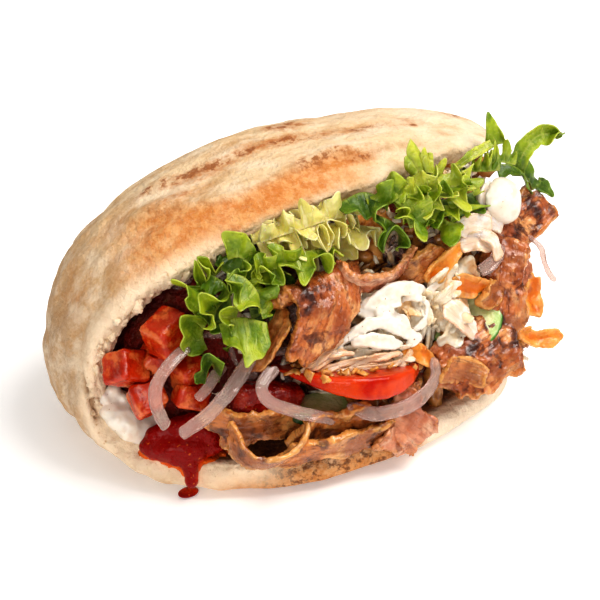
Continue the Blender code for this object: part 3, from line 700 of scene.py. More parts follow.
def path_through(points, count):
    """A smooth line of count places through a few points."""
    p = np.array(points, float)
    p = np.concatenate([[2 * p[0] - p[1]], p, [2 * p[-1] - p[-2]]])
    where = np.linspace(0, len(p) - 3, count)
    i = np.minimum(where.astype(int), len(p) - 4)
    t = (where - i)[:, None]
    a, b, c, d = p[i], p[i + 1], p[i + 2], p[i + 3]
    straight, curved = (c - a) * t, (2 * a - 5 * b + 4 * c - d) * t ** 2
    return 0.5 * (2 * b + straight + curved + (3 * b - a - 3 * c + d) * t ** 3)


def unit(rows):
    """The same directions with a length of 1."""
    return rows / np.linalg.norm(rows, axis=1)[:, None]


def ruffle(path, grow, depth, seed=1, waves=3.0, swing=3.6, over=1.5, teeth=0.15, droop=35, tips=0.5,
           point=0.6):
    """Rows of points of one frilled edge, in mm, with its u and v from path to rim.

    waves, swing and over shape its folds, teeth the rim, droop bends it in degrees, and tips and
    point say how deep its ends are and how pointed the whole is.
    """
    phase = np.random.default_rng(seed).uniform(0, 6.28, 6)
    length = np.linalg.norm(np.diff(np.array(path, float), axis=0), axis=1).sum()
    count, deep = int(length * 2.4) + 20, 22
    line = path_through(path, count)
    ahead = unit(np.gradient(line, axis=0))
    out = unit(np.array(grow, float) - ahead * (ahead @ np.array(grow, float))[:, None])
    face = np.cross(ahead, out)
    p = np.linspace(0, 1, count)
    beat = 2 * math.pi * waves * (p + 0.05 * np.sin(7 * p + phase[0])) + phase[1]
    large = 2 * np.abs((beat * 1.9 / math.pi + phase[4]) % 2 - 1) - 1
    small = 2 * np.abs((p * length / 1.9 + phase[3]) % 2 - 1) - 1
    rise = 1 - np.abs(2 * p - 1) if point > 1 else np.sin(math.pi * p)
    size = depth * (tips + (1 - tips) * rise ** point)
    size = size * (1 + 0.22 * np.sin(beat + phase[2]) + teeth * (0.7 * large + 0.6 * small))
    fade = np.minimum(1, 6 * p) * np.minimum(1, 6 * (1 - p)) * 0.6 + 0.4
    rows = np.zeros((count, deep + 1, 3))
    centre = line.copy()
    for j in range(deep + 1):
        r = j / deep
        bent = math.radians(droop) * r ** 1.5
        way = math.cos(bent) * out - math.sin(bent) * face
        across = math.sin(bent) * out + math.cos(bent) * face
        if j:
            centre = centre + way * (size / deep)[:, None]
        sway = swing * fade * r ** 1.3 * (np.sin(beat) + 0.3 * np.sin(2.3 * beat + phase[3]))
        sway = sway + 0.5 * r ** 4 * np.sin(3.7 * beat + phase[5])
        slip = over * fade * r ** 1.8 * np.sin(2 * beat)
        rows[:, j] = centre + across * sway[:, None] - ahead * slip[:, None]
    u = np.repeat(p[:, None] * length / 10, deep + 1, 1)
    v = np.repeat(np.linspace(0, 1, deep + 1)[None], count, 0)
    return rows, u, v


# %% [markdown]
# A leaf is several ruffles in one mesh, turned onto the filling's face and given the thickness
# of a leaf, which is under half a millimetre. Cloth could be crumpled into such folds too, but it
# would settle differently each time, and a ruffle says where its folds are.

# %% One leaf from its ruffles


def leaf_of(name, node, ruffles, thick=0.45):
    """One leaf from its ruffles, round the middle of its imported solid."""
    where = np.array(middle(node))
    sheets = []
    for words in ruffles:
        rows, u, v = ruffle(*words)
        sheets.append(grid_mesh(name, rows @ np.array(FACE).T + where, u, v))
    obj = new_piece(name, joined(name, sheets))
    body = obj.modifiers.new("Leaf", "SOLIDIFY")
    body.thickness, body.offset = thick * MM, 0
    return settle(obj)


# %% [markdown]
# A lettuce leaf is waxy and lets light through: pale at its rib, with fine pale veins towards the
# rim and a thin light line where the rim was cut or torn. Deeper green is painted in as shade, in
# patches and towards the rib, and light specks as painted highlights. Four greens are needed: the
# heart of the head, the inner leaves, the outer leaves, and the outer leaves with painted shade.

# %% The lettuce's finishes


def lettuce_finish(name, face_hex, shade_hex, rim_hex, seed):
    """A leaf's green, painted shade in deeper green in patches and towards the rib, painted highlight specks,
    and its pale veins and rim.
    """
    made, t = new_material(name)
    uv = put(t, "ShaderNodeUVMap", uv_map="UVMap")
    split = put(t, "ShaderNodeSeparateXYZ", {0: uv.outputs[0]})
    edge = split.outputs[1]
    mm = in_mm(t, shift=(seed * 7.0, 0, 0))
    stretched = put(t, "ShaderNodeVectorMath", {0: uv.outputs[0], 1: (5.0, 1.1, 1.0)}, operation="MULTIPLY")
    veins = mask(t, stretched.outputs[0], 1.0, 0.56, 0.64, detail=2, warp=0.6)
    shade = mask(t, mm, 8, 0.38, 0.64)
    highlight_specks = mask(t, mm, 1.3, 0.45, 0.75, detail=4)
    colour = paint(
        t, face_hex,
        # painted shade: deeper green in patches
        (times(t, shade, 0.8), shade_hex),
        # painted shade: deeper green towards the rib, where the leaf goes into the filling
        (times(t, step(t, edge, 0.75, 0.25), 0.5), shade_hex),
        # painted highlight: light specks over the leaf
        (times(t, highlight_specks, 0.18), rim_hex),
        (times(t, veins, 0.4), rim_hex),
        (times(t, step(t, edge, 0.18, 0.02), 0.4), rim_hex),
        (times(t, step(t, edge, 0.93, 1.0), step(t, shade, 0, 1, to=(0.4, 0.1))), rim_hex),
    )
    fine = put(t, "ShaderNodeTexNoise", {"Vector": mm, "Scale": 1 / 1.6, "Detail": 4.0}).outputs[0]
    finish(t, colour, relief=[(veins, -0.2), (fine, 0.55)], Roughness=0.38, Subsurface_Weight=0.3,
           Subsurface_Radius=(0.6, 1.0, 0.08), Subsurface_Scale=0.0014, Coat_Weight=0.08, Coat_Roughness=0.2)
    return made


# outer leaves in the light, the same leaves with painted shade, inner leaves, and the heart of the head
bright_leaf = lettuce_finish("frilled_lettuce_bright", "#AAB42C", "#587814", "#CACE6C", 1)
shaded_leaf = lettuce_finish("frilled_lettuce_deep", "#6A8619", "#2E4C0C", "#A2B048", 2)
light_leaf = lettuce_finish("frilled_lettuce_light", "#C4C648", "#86982E", "#DCDC90", 4)
pale_leaf = lettuce_finish("frilled_lettuce_heart", "#ECE29C", "#CEC05E", "#FAF4D4", 3)

# %% [markdown]
# Each leaf is now typed as its ruffles: the path that a ruffle grows from, the way it grows and
# how far. The curly leaves at the front take wide ruffles with many waves. The leaf over the lip
# is cut into points, and the rib and the strap at the open end are two narrow ruffles that grow
# to both sides of one line.

# %% The lettuce leaves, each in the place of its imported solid
POINTED = (0.7, 0.7, 0.2, 0.22, -8, 0.02, 1.1)
RIB = [(-14.2, 2.9, 4), (-5.7, 6, 5), (3.7, 8.5, 4)]
STRAP = [(-4.5, -0.6, -2), (-2.7, 3.3, 0), (0.7, 7.1, 1), (5.1, 9.9, 2), (9.5, 9.8, 3), (12.4, 7.1, 3)]
LEAVES = [
    # piece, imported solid, finish, and of each ruffle the path (along, up, out), the way it grows,
    # how far, a seed, then its waves, swing, over, teeth, droop, tips and point
    ("front", "front", bright_leaf, [
        ([(1.3, 15, 1), (4.5, 14.9, 2), (8, 12.4, 1)], (-0.1, 1, 0.3), 7.5, 24,
         0.9, 1.4, 0.8, 0.12, -10, 0.6),
        ([(6.9, 10.5, 2), (2.3, 5.2, 4), (-1.1, -1.2, 4), (-3.7, -6.3, 3)], (-1, -0.2, 0.6), 7.5, 21,
         2.2, 3.0, 1.4, 0.3, 30),
        ([(4.9, 6.7, 3), (5.9, 0.5, 4), (6.9, -6.4, 3)], (1, -0.2, 0.4), 6.5, 27, 1.8, 2.6, 1.2, 0.3, 30),
        ([(-8.2, -3.6, 3), (-1.9, -3.2, 6), (7.6, -7.7, 4)], (0, -1, 0.35), 14, 23,
         0.9, 1.8, 0.9, 0.06, 20, 0.6),
        ([(-0.6, 3.8, 1), (-6.8, 1.2, 2), (-10.5, -5.1, 1)], (-1, -0.1, 0.4), 8, 22, 1.8, 2.8, 1.2, 0.35),
        ([(-1.7, 11.5, 5), (2.7, 8.7, 7), (5.8, 2.7, 7), (5.5, -3.1, 6)], (-0.55, -0.8, 0.35), 9, 28,
         0.9, 1.6, 0.8, 0.12, 15, 0.45),
        ([(11.7, 12.8, 1), (14.5, 9.9, 2), (18.1, 9.6, 1)], (0, -1, 0.5), 7, 34, 1.0, 1.8, 0.8, 0.2, 20, 0.6),
    ]),
    ("front_deep", "front", shaded_leaf, [
        ([(-4.4, 12.3, -3), (0.3, 5.8, -3), (-1.3, -8.4, -3), (-5.3, -13.9, -3)], (-0.8, -0.6, 0.2), 11, 25,
         2.4, 3.0, 1.5, 0.3),
        ([(10.8, 11, -3), (13.7, 1.3, -3), (11.2, -10.5, -3)], (1, -0.1, 0.3), 6, 26, 2, 2.6, 1.5, 0.3),
        ([(-9.2, -14.3, -2), (-13.7, -16.7, -1), (-16.1, -21.2, -2)], (-0.9, -0.5, 0.2), 7, 29,
         0.9, 1.4, 0.6, 0.1, 20, 0.6),
        ([(-1.6, 14.5, -4), (5.3, 4.4, -4), (6.5, -14.3, -4)], (1, 0.3, 0.1), 9, 30, 2.4, 2.4, 1.5, 0.3),
    ]),
    ("front_spear", "front_spear", bright_leaf, [
        ([(11.9, 2.1, 1), (9.6, -1.6, 2), (7.1, -6.1, 1)], (-1, 0.05, 0.2), 14, 31,
         1.2, 2.0, 0.9, 0.35, 20, 0.3),
        ([(7.6, -6.2, 0), (4, -10.3, 0), (4.6, -15.6, -1)], (-1, -0.1, 0.2), 10, 32,
         1.0, 2.0, 0.8, 0.3, 35, 0.3),
        ([(16.6, 8.2, 0), (10.9, 5.4, 0), (6.4, 3.7, 0)], (-0.6, 0.6, 0.4), 7, 33, 2.0, 2.4, 1.0, 0.3),
    ]),
    ("pale", "pale", pale_leaf, [
        ([(-25.7, 3.6, -2), (-14.7, 4.9, -2), (-3, 6, -2), (11.9, 7.7, -3)], (0, 1, 0.5), 8, 44,
         4.0, 2.0, 0.6, 0.35),
        ([(-24.5, 4, -1), (-13.1, 3.7, -1), (1.5, 1.8, -2), (19.7, -1.9, -3)], (0, -1, 0.3), 10, 45,
         3.6, 2.4, 0.8, 0.35),
        ([(-22.1, 5.5, 0), (-11.5, 6.2, 2), (0.5, 7.2, 3), (11.2, 5.6, 2)], (0, -1, 0.55), 9, 41,
         4.8, 2.8, 1.2, 0.35),
        ([(-11.3, 3.9, 2), (-2.4, 4.3, 4), (8.2, 1.3, 4), (19.5, -2.6, 2)], (0.1, -1, 0.6), 8, 42,
         4.4, 2.6, 1.0, 0.4),
        ([(-24.8, 4.1, 3), (-12.2, 4.5, 4), (0.5, 4.9, 5), (12.9, 3.7, 4)], (0, 1, 0.5), 6.5, 43,
         4.4, 2.2, 0.8, 0.35),
    ]),
    ("frill", "frill", bright_leaf, [
        ([(-20, 3, 0), (-6, 3, 2), (10, 1, 1)], (0, -1, 0.7), 9, 51, 3.6, 3.4, 1.6),
        ([(-20, 0, 2), (-12, 0, 3), (-2, 0, 2)], (0, 1, 0.8), 7, 52, 2.2, 2.8, 1.3),
    ]),
    ("middle", "middle", shaded_leaf, [
        ([(-15, 12, -2), (-6, 14, 0), (2, 10, 0)], (-0.2, -1, 0.6), 11, 61, 1.2, 2.6, 1.0, 0.05),
        ([(-3, 6, 0), (3, 0, 2), (1, -8, 2)], (-0.7, -0.7, 0.5), 12, 62, 1.4, 3.4, 1.8, 0.06),
    ]),
    ("middle_bright", "middle", bright_leaf, [
        ([(0, 12, 0), (6, 6, 2), (8, -2, 1)], (1, -0.2, 0.5), 8, 63, 1.6, 3.2, 1.7, 0.08),
        ([(-6, 8, 2), (2, 8, 3), (8, 10, 2)], (0, 1, 0.6), 7, 64, 1.6, 2.6, 1.4, 0.06),
    ]),
    ("mass_upper", "mass", light_leaf, [
        ([(-17.5, 10.1, 0), (-8.2, 8.9, 2), (2, 7.5, 2), (11, 7.2, 0)], (0, -1, 0.8), 8, 71,
         2.6, 3.2, 1.2, 0.5),
        ([(-17.6, 9.4, 3), (-6.3, 8, 4), (7.6, 6.3, 3)], (0.1, 1, 0.5), 6.5, 72, 2.6, 2.4, 1.0, 0.5),
        ([(4.9, 10.4, 1), (8.5, 6.4, 3), (10.2, 2.2, 2)], (1, 0.1, 0.4), 6, 76,
         1.4, 2.0, 0.8, 0.5, 35, 0.5, 1.2),
    ]),
    ("mass_lower", "mass", bright_leaf, [
        ([(-16.6, 9.1, 4), (-5.7, 7.8, 6), (7.6, 7, 5)], (0.1, -0.2, 1), 5.5, 86, 3.0, 3.0, 1.2, 0.5),
        ([(-17.7, 7.2, 2), (-14.9, 3.4, 4), (-8.6, 0.9, 3)], (-0.1, -1, 0.5), 8, 73, 1.4, 2.4, 1.0, 0.5),
        ([(-0.7, 3.9, 2), (-1.3, -0.4, 4), (-1.8, -3.9, 3)], (1, -0.3, 0.3), 13, 75,
         0.9, 1.8, 0.6, 0.5, 35, 0.1, 1.2),
        ([(-4.5, -0.9, 2), (-2.3, -3.8, 4), (2, -5, 3)], (0.4, -1, 0.3), 9, 80,
         0.8, 1.6, 0.6, 0.5, 35, 0.2, 1.3),
        ([(-6.3, 5.4, 1), (-2.5, 2.2, 3), (4.2, 1, 2)], (0.2, -1, 0.5), 7, 77, 1.6, 2.4, 1.0, 0.5),
        ([(-17.9, 9.5, 2), (-17.1, 5.5, 3), (-17.2, 0.4, 2)], (-0.8, -0.4, 0.5), 6.5, 78, 1.4, 2.2, 0.9, 0.5),
    ]),
    ("mass_deep", "mass", shaded_leaf, [
        ([(-15.8, 8.9, -4), (-0.6, 3.9, -3), (15.1, 3.1, -4)], (0, -1, 0.5), 11, 74, 2.8, 3.0, 1.2, 0.35),
        ([(-13.5, 9.7, -5), (1, 7.9, -4), (15.1, 6.8, -5)], (0, 1, 0.5), 5, 79, 2.8, 2.4, 1.0, 0.35),
    ]),
    ("over_lip", "over_lip", light_leaf, [
        ([(0.4, -3.9, 1), (-2.6, -3.7, 2), (-4.6, -4.5, 1)], (-0.19, 0.98, 0.1), 13.5, 82, *POINTED),
        ([(0.7, -3.3, 2), (-1.5, -2.6, 3), (-2.8, -2.8, 2)], (0.1, 0.99, 0.1), 8.6, 84, *POINTED),
        ([(2.4, -4.9, 1), (0.4, -3.8, 2), (-0.9, -3.7, 1)], (0.36, 0.93, 0.1), 8.5, 83, *POINTED),
        ([(3.2, -6.4, 1), (1.8, -5, 2), (0.9, -4.4, 1)], (0.73, 0.68, 0.1), 5.9, 85, *POINTED),
        ([(-2.6, -2.2, 1), (-4.8, -2.4, 2), (-5.8, -3.5, 1)], (-0.48, 0.88, 0.1), 6.9, 87, *POINTED),
        ([(0, -8.2, 2), (-1.8, -6.2, 3), (-3.3, -4.9, 2)], (0.77, 0.64, 0.1), 5.2, 88, *POINTED),
        ([(-2.8, -5.6, 2), (-5.2, -6, 3), (-6.2, -7.3, 2)], (-0.54, 0.84, 0.1), 4.9, 89, *POINTED),
    ]),
    ("rib", "rib", light_leaf, [
        (RIB, (-0.6, 1, 0), 1.7, 91, 1.0, 0.3, 0.1, 0.05, 0, 0.8),
        (RIB, (0.6, -1, 0.2), 1.4, 92, 1.0, 0.3, 0.1, 0.05, 0, 0.8),
    ]),
    ("rib_spear", "rib", bright_leaf, [
        ([(5.9, 5.7, -2), (9.9, 6.8, -2), (13.5, 6.5, -2)], (0.3, 1, 0.05), 11, 93,
         0.8, 1.0, 0.4, 0.2, -6, 0.1, 1.6),
    ]),
    ("rib_fringe", "rib", bright_leaf, [
        ([(2.4, 1.5, 1), (6.6, 1, 2), (13, -1.5, 1)], (0.15, 1, 0.4), 5.5, 94, 2.2, 1.6, 0.6, 0.6, 35, 0.7),
        ([(-5.2, 0.7, 1), (0.4, -0.9, 2), (6.3, -1.8, 1)], (0.1, 1, 0.5), 5.5, 95,
         2.4, 1.8, 0.6, 0.6, 35, 0.7),
    ]),
    ("end_strap", "end_curl", bright_leaf, [
        (STRAP, (-0.6, 0.8, 0.2), 4.6, 101, 1.0, 0.6, 0.2, 0.06, -20, 0.8),
        (STRAP, (0.7, -0.7, 0.3), 3.8, 102, 1.0, 0.6, 0.2, 0.06, 20, 0.8),
    ]),
    ("end_round", "end_curl", shaded_leaf, [
        ([(-13.6, 4.2, 1), (-8.8, 2.8, 2), (-4.3, -1.4, 2), (-2.3, -7.8, 1)], (-0.3, -1, 0.5), 6.5, 103,
         1.0, 1.4, 0.5, 0.05, 30, 0.7),
        ([(-6.4, -1.5, -2), (-1.7, -3.5, -1), (0.6, -8.6, -2)], (0.6, 0.8, 0.2), 6, 105,
         1.0, 1.4, 0.5, 0.1, 10, 0.6),
        ([(3.2, -8.6, -4), (4.9, -6.9, -4), (5.9, -4.9, -4)], (1, 0.1, 0), 6.5, 104,
         0.9, 1.0, 0.3, 0.2, 0, 0.35),
    ]),
]
for name, solid, look, ruffles in LEAVES:
    node = "lettuce_" + solid
    done(leaf_of(f"lettuce_{name}_leaf", node, ruffles), look, "lettuce", node)

# %% [markdown]
# ## Slices, strips and flakes
# Meat, onion rings and fried onion are all sheets with a torn or cut edge. `slab` bends a flat
# grid along its line, rounds its corners, makes its outline ragged and tears holes where asked,
# then gives it its thickness. Remeshing rounds the edge as wet food has it. The line is either
# one even bend, or goes through a few typed places where the bend of a slice matters.

# %% A line through a few places, with its sides


def followed(path, lean, steps):
    """What bent_line gives, for a typed line; lean turns the sheet about it, from end to end."""
    line = path_through(path, steps + 1)
    ahead = unit(np.gradient(line, axis=0))
    side = unit(np.cross((0, 0, 1), ahead))
    face = np.cross(ahead, side)
    share = np.linspace(0, 1, steps + 1)
    a = np.radians(np.interp(share, np.linspace(0, 1, len(lean)), lean))[:, None]
    return line, ahead, side * np.cos(a) + face * np.sin(a), face * np.cos(a) - side * np.sin(a)


# %% [markdown]
# The remeshed slice has new points, which don't know where on the sheet they lie. Each finds the
# nearest point of the flat grid and takes over how far along, across and from the rim it is. The
# fibres, the bumps and the frayed edge are then pressed in along the normals, and the charred
# places are marked.

# %% Fibres, frayed edges and char


def press_in(obj, points, along, over, to_rim, fibre, bumps, fray, grain, char, seed):
    """Press the grain of the food into a remeshed sheet, and note what its finish needs."""
    near = KDTree(len(points))
    for i, p in enumerate(points):
        near.insert(p, i)
    near.balance()
    at, normal = points_of(obj)
    found = np.array([near.find(p)[1] for p in at])
    along, over, to_rim = along[found], over[found], to_rim[found]
    grain_place = np.stack([along / 7, over / grain, at[:, 2] / 4], 1)
    press = fibre * clouds(grain_place, 1, seed + 3) + bumps * clouds(at, 3.2, seed + 5)
    press = press + 0.4 * bumps * clouds(at, 1.3, seed + 6)
    edge = np.clip(1 - to_rim / 2.5, 0, 1)
    press += edge * fray * (0.7 * clouds(at, 2.4, seed + 7) + 0.8 * clouds(at, 1.0, seed + 8))
    set_points(obj, at + normal * press[:, None])
    charred = np.zeros(len(at))
    for a, b, far in char:
        charred = np.maximum(charred, np.exp(-((along - a) ** 2 + (over - b) ** 2) / far ** 2))
    for name, values in (("charred", charred), ("along", along), ("across", over), ("rim", to_rim)):
        note(obj, name, values)


# %% [markdown]
# `slab` puts it together. A wedge tapers, a cupped petal bends across its width, and a torn slice
# gets a wavy rim and holes.

# %% The form of a slice, strip or flake


def slab(name, length=0, width=10, thick=2, bend=0, sweep=0, cup=0, ruffle=0, waves=3, taper=0, ragged=0.12,
         corner=0.6, holes=0.0, voxel=0.6, fibre=0.25, bumps=0.4, fray=0.3, rounds=3, grain=0.9, path=None,
         lean=(0, 0), char=(), seed=1):
    """A sheet of food with a rim: sizes in mm, bend along it and sweep within it in degrees."""
    if path:
        length = np.linalg.norm(np.diff(path_through(path, 40), axis=0), axis=1).sum()
    steps, across = max(int(length / 0.9), 6), max(int(width / 0.9), 4)
    s, line, ahead, side, face = bent_line(length, bend, sweep, steps)
    if path:
        line, ahead, side, face = followed(path, lean, steps)
    ahead_share, side_share = np.meshgrid(s, np.linspace(-1, 1, across + 1), indexing="ij")
    run = ahead_share * np.sqrt(1 - corner * side_share * side_share / 2)
    span = side_share * np.sqrt(1 - corner * ahead_share * ahead_share / 2)
    flat = np.stack([run, span, 0 * run], 2).reshape(-1, 3) * np.array([length / 2, width / 2, 1])
    uneven = clouds(flat, 10, seed) + 0.25 * clouds(flat, 3.5, seed + 40)
    rim = np.maximum(np.abs(ahead_share), np.abs(side_share)) ** 3
    wide = 1 + ragged * rim * uneven.reshape(run.shape) * 2.2
    run, span = run * wide, span * wide * (1 - taper * (run + 1) / 2)
    inside = np.clip(run, -1, 1)

    def here(rows):
        """The rows of the line, read at each point of the grid."""
        return np.stack([np.interp(inside, s, rows[:, k]) for k in range(3)], 2)

    wave = np.sin(waves * math.pi * run + seed + np.where(span > 0, 1.3, 0))
    rise = cup * span * span + ruffle * np.abs(span) ** 1.5 * wave + 0.25 * ruffle * np.sin(2 * run + seed)
    points = here(line) + here(side) * (width / 2 * span)[..., None] + here(face) * rise[..., None]
    points = points + here(ahead) * ((run - inside) * length / 2)[..., None]
    keep = None
    if holes:
        worn = clouds(flat, 4.5, seed + 80).reshape(run.shape)
        keep = (worn + 0.25 * rim < 1 - holes)[:-1, :-1]
    obj = new_piece(name, grid_mesh(name, points, run, span, keep))
    body = obj.modifiers.new("Slice", "SOLIDIFY")
    body.thickness, body.offset = thick * MM, 0
    even_out(obj, voxel, rounds)
    to_rim = np.minimum((1 - np.abs(ahead_share).ravel()) * length / 2,
                        (1 - np.abs(side_share).ravel()) * width / 2)
    press_in(obj, points.reshape(-1, 3), run.ravel() * length / 2, span.ravel() * width / 2, to_rim,
             fibre, bumps, fray, grain, char, seed)
    return obj


# %% [markdown]
# ## Roast meat
# Slices shaved from a spit are lean brown fibres with fat between them. The outside of the stack is
# seared: the slice's outer face is dark and blistered and its rim golden orange, while the inner
# face stays pinkish and wet. Three finishes cover them: seared, golden and pink. One noise, raised
# where a slice was marked as charred, browns it first and blackens it where it is strongest.

# %% The meat's finishes


def sear_dark(sear, char):
    """A brown halfway between two colours."""
    return tuple((a + b) / 2 for a, b in zip(linear(sear), linear(char)))


def meat_finish(name, lean, fat, sear, char, rim_hex, burnt=0.6, seed=1):
    """Roast meat from the colours of its lean, its fat, its sear, its char and its rim."""
    made, t = new_material(name)
    mm = in_mm(t, shift=(seed * 11.0, seed * 3.0, 0))
    along = times(t, noted(t, "along"), 0.16)
    grain = put(t, "ShaderNodeCombineXYZ", {0: along, 1: noted(t, "across"), 2: float(seed)}).outputs[0]
    fibres = mask(t, grain, 1.1, 0.42, 0.66, detail=2)
    grooves = mask(t, grain, 0.8, 0.56, 0.68, detail=3)
    seams = mask(t, grain, 3.0, 0.58, 0.68, detail=2)
    fatty = mask(t, mm, 9, 0.50, 0.64, detail=3)
    seared = mask(t, mm, 10, 0.42, 0.58, detail=3, rough=0.55)
    aside = in_mm(t, shift=(seed * 5.0, 9, 0))
    patchy = put(t, "ShaderNodeTexNoise", {"Vector": aside, "Scale": 1 / 5.5, "Detail": 4.0, "Roughness": 0.6,
                                           "Distortion": 0.6}).outputs[0]
    scorching = times(t, noted(t, "charred"), 0.16)
    patchy = put(t, "ShaderNodeMath", {0: patchy, 1: scorching}, operation="ADD").outputs[0]
    brown, black = step(t, patchy, 0.57, 0.68), step(t, patchy, 0.64, 0.78)
    shine = mask(t, mm, 3.4, 0.42, 0.60, detail=3)
    edge = noted(t, "rim")
    rim = times(t, step(t, edge, 1.3, 0.2), mask(t, mm, 3.0, 0.36, 0.52))
    colour = paint(
        t, lean,
        (times(t, fatty, 0.8), fat),
        (times(t, fibres, 0.45), sear),
        (times(t, grooves, 0.55 * burnt), sear_dark(sear, char)),
        (times(t, seams, 0.4), fat),
        (times(t, seared, 0.7), sear),
        (times(t, brown, 0.85 * burnt), sear_dark(sear, char)),
        (times(t, black, 0.9 * burnt), char),
        (times(t, rim, 0.6), rim_hex),
    )
    wrinkles = put(t, "ShaderNodeTexNoise", {"Vector": mm, "Scale": 1 / 4.5, "Detail": 2.0, "Roughness": 0.5})
    pimples = put(t, "ShaderNodeTexNoise", {"Vector": mm, "Scale": 1 / 1.5, "Detail": 3.0, "Roughness": 0.5})
    relief = [(fibres, -0.12), (grooves, -0.2), (wrinkles.outputs[0], 0.9), (pimples.outputs[0], 0.25)]
    finish(t, colour, relief=relief, Roughness=step(t, shine, 0, 1, to=(0.44, 0.2)), Subsurface_Weight=0.08,
           Subsurface_Radius=(1.0, 0.35, 0.2), Subsurface_Scale=0.0015, Coat_Weight=0.45, Coat_Roughness=0.10)
    return made


# the outside of the stack, the slices just under it, and the inner face of a slice
seared_meat = meat_finish("roast_meat_seared", "#C2733E", "#E6AE74", "#8C4119", "#36120C", "#E3A058", 0.95, 1)
golden_meat = meat_finish("roast_meat_golden", "#C87C3C", "#E8B474", "#8C491E", "#3E1B0C", "#E8AE62", 0.7, 2)
pink_meat = meat_finish("roast_meat_pink", "#D4906C", "#ECC4A4", "#A65C3C", "#572819", "#D9934C", 0.4, 3)

# %% [markdown]
# Seventeen slices and bits of meat show. The ones whose bend matters follow a line, with their
# lean from end to end in degrees; the others are bent evenly and turned into place. `char` marks
# the burnt places as (along, across, how far) in millimetres.

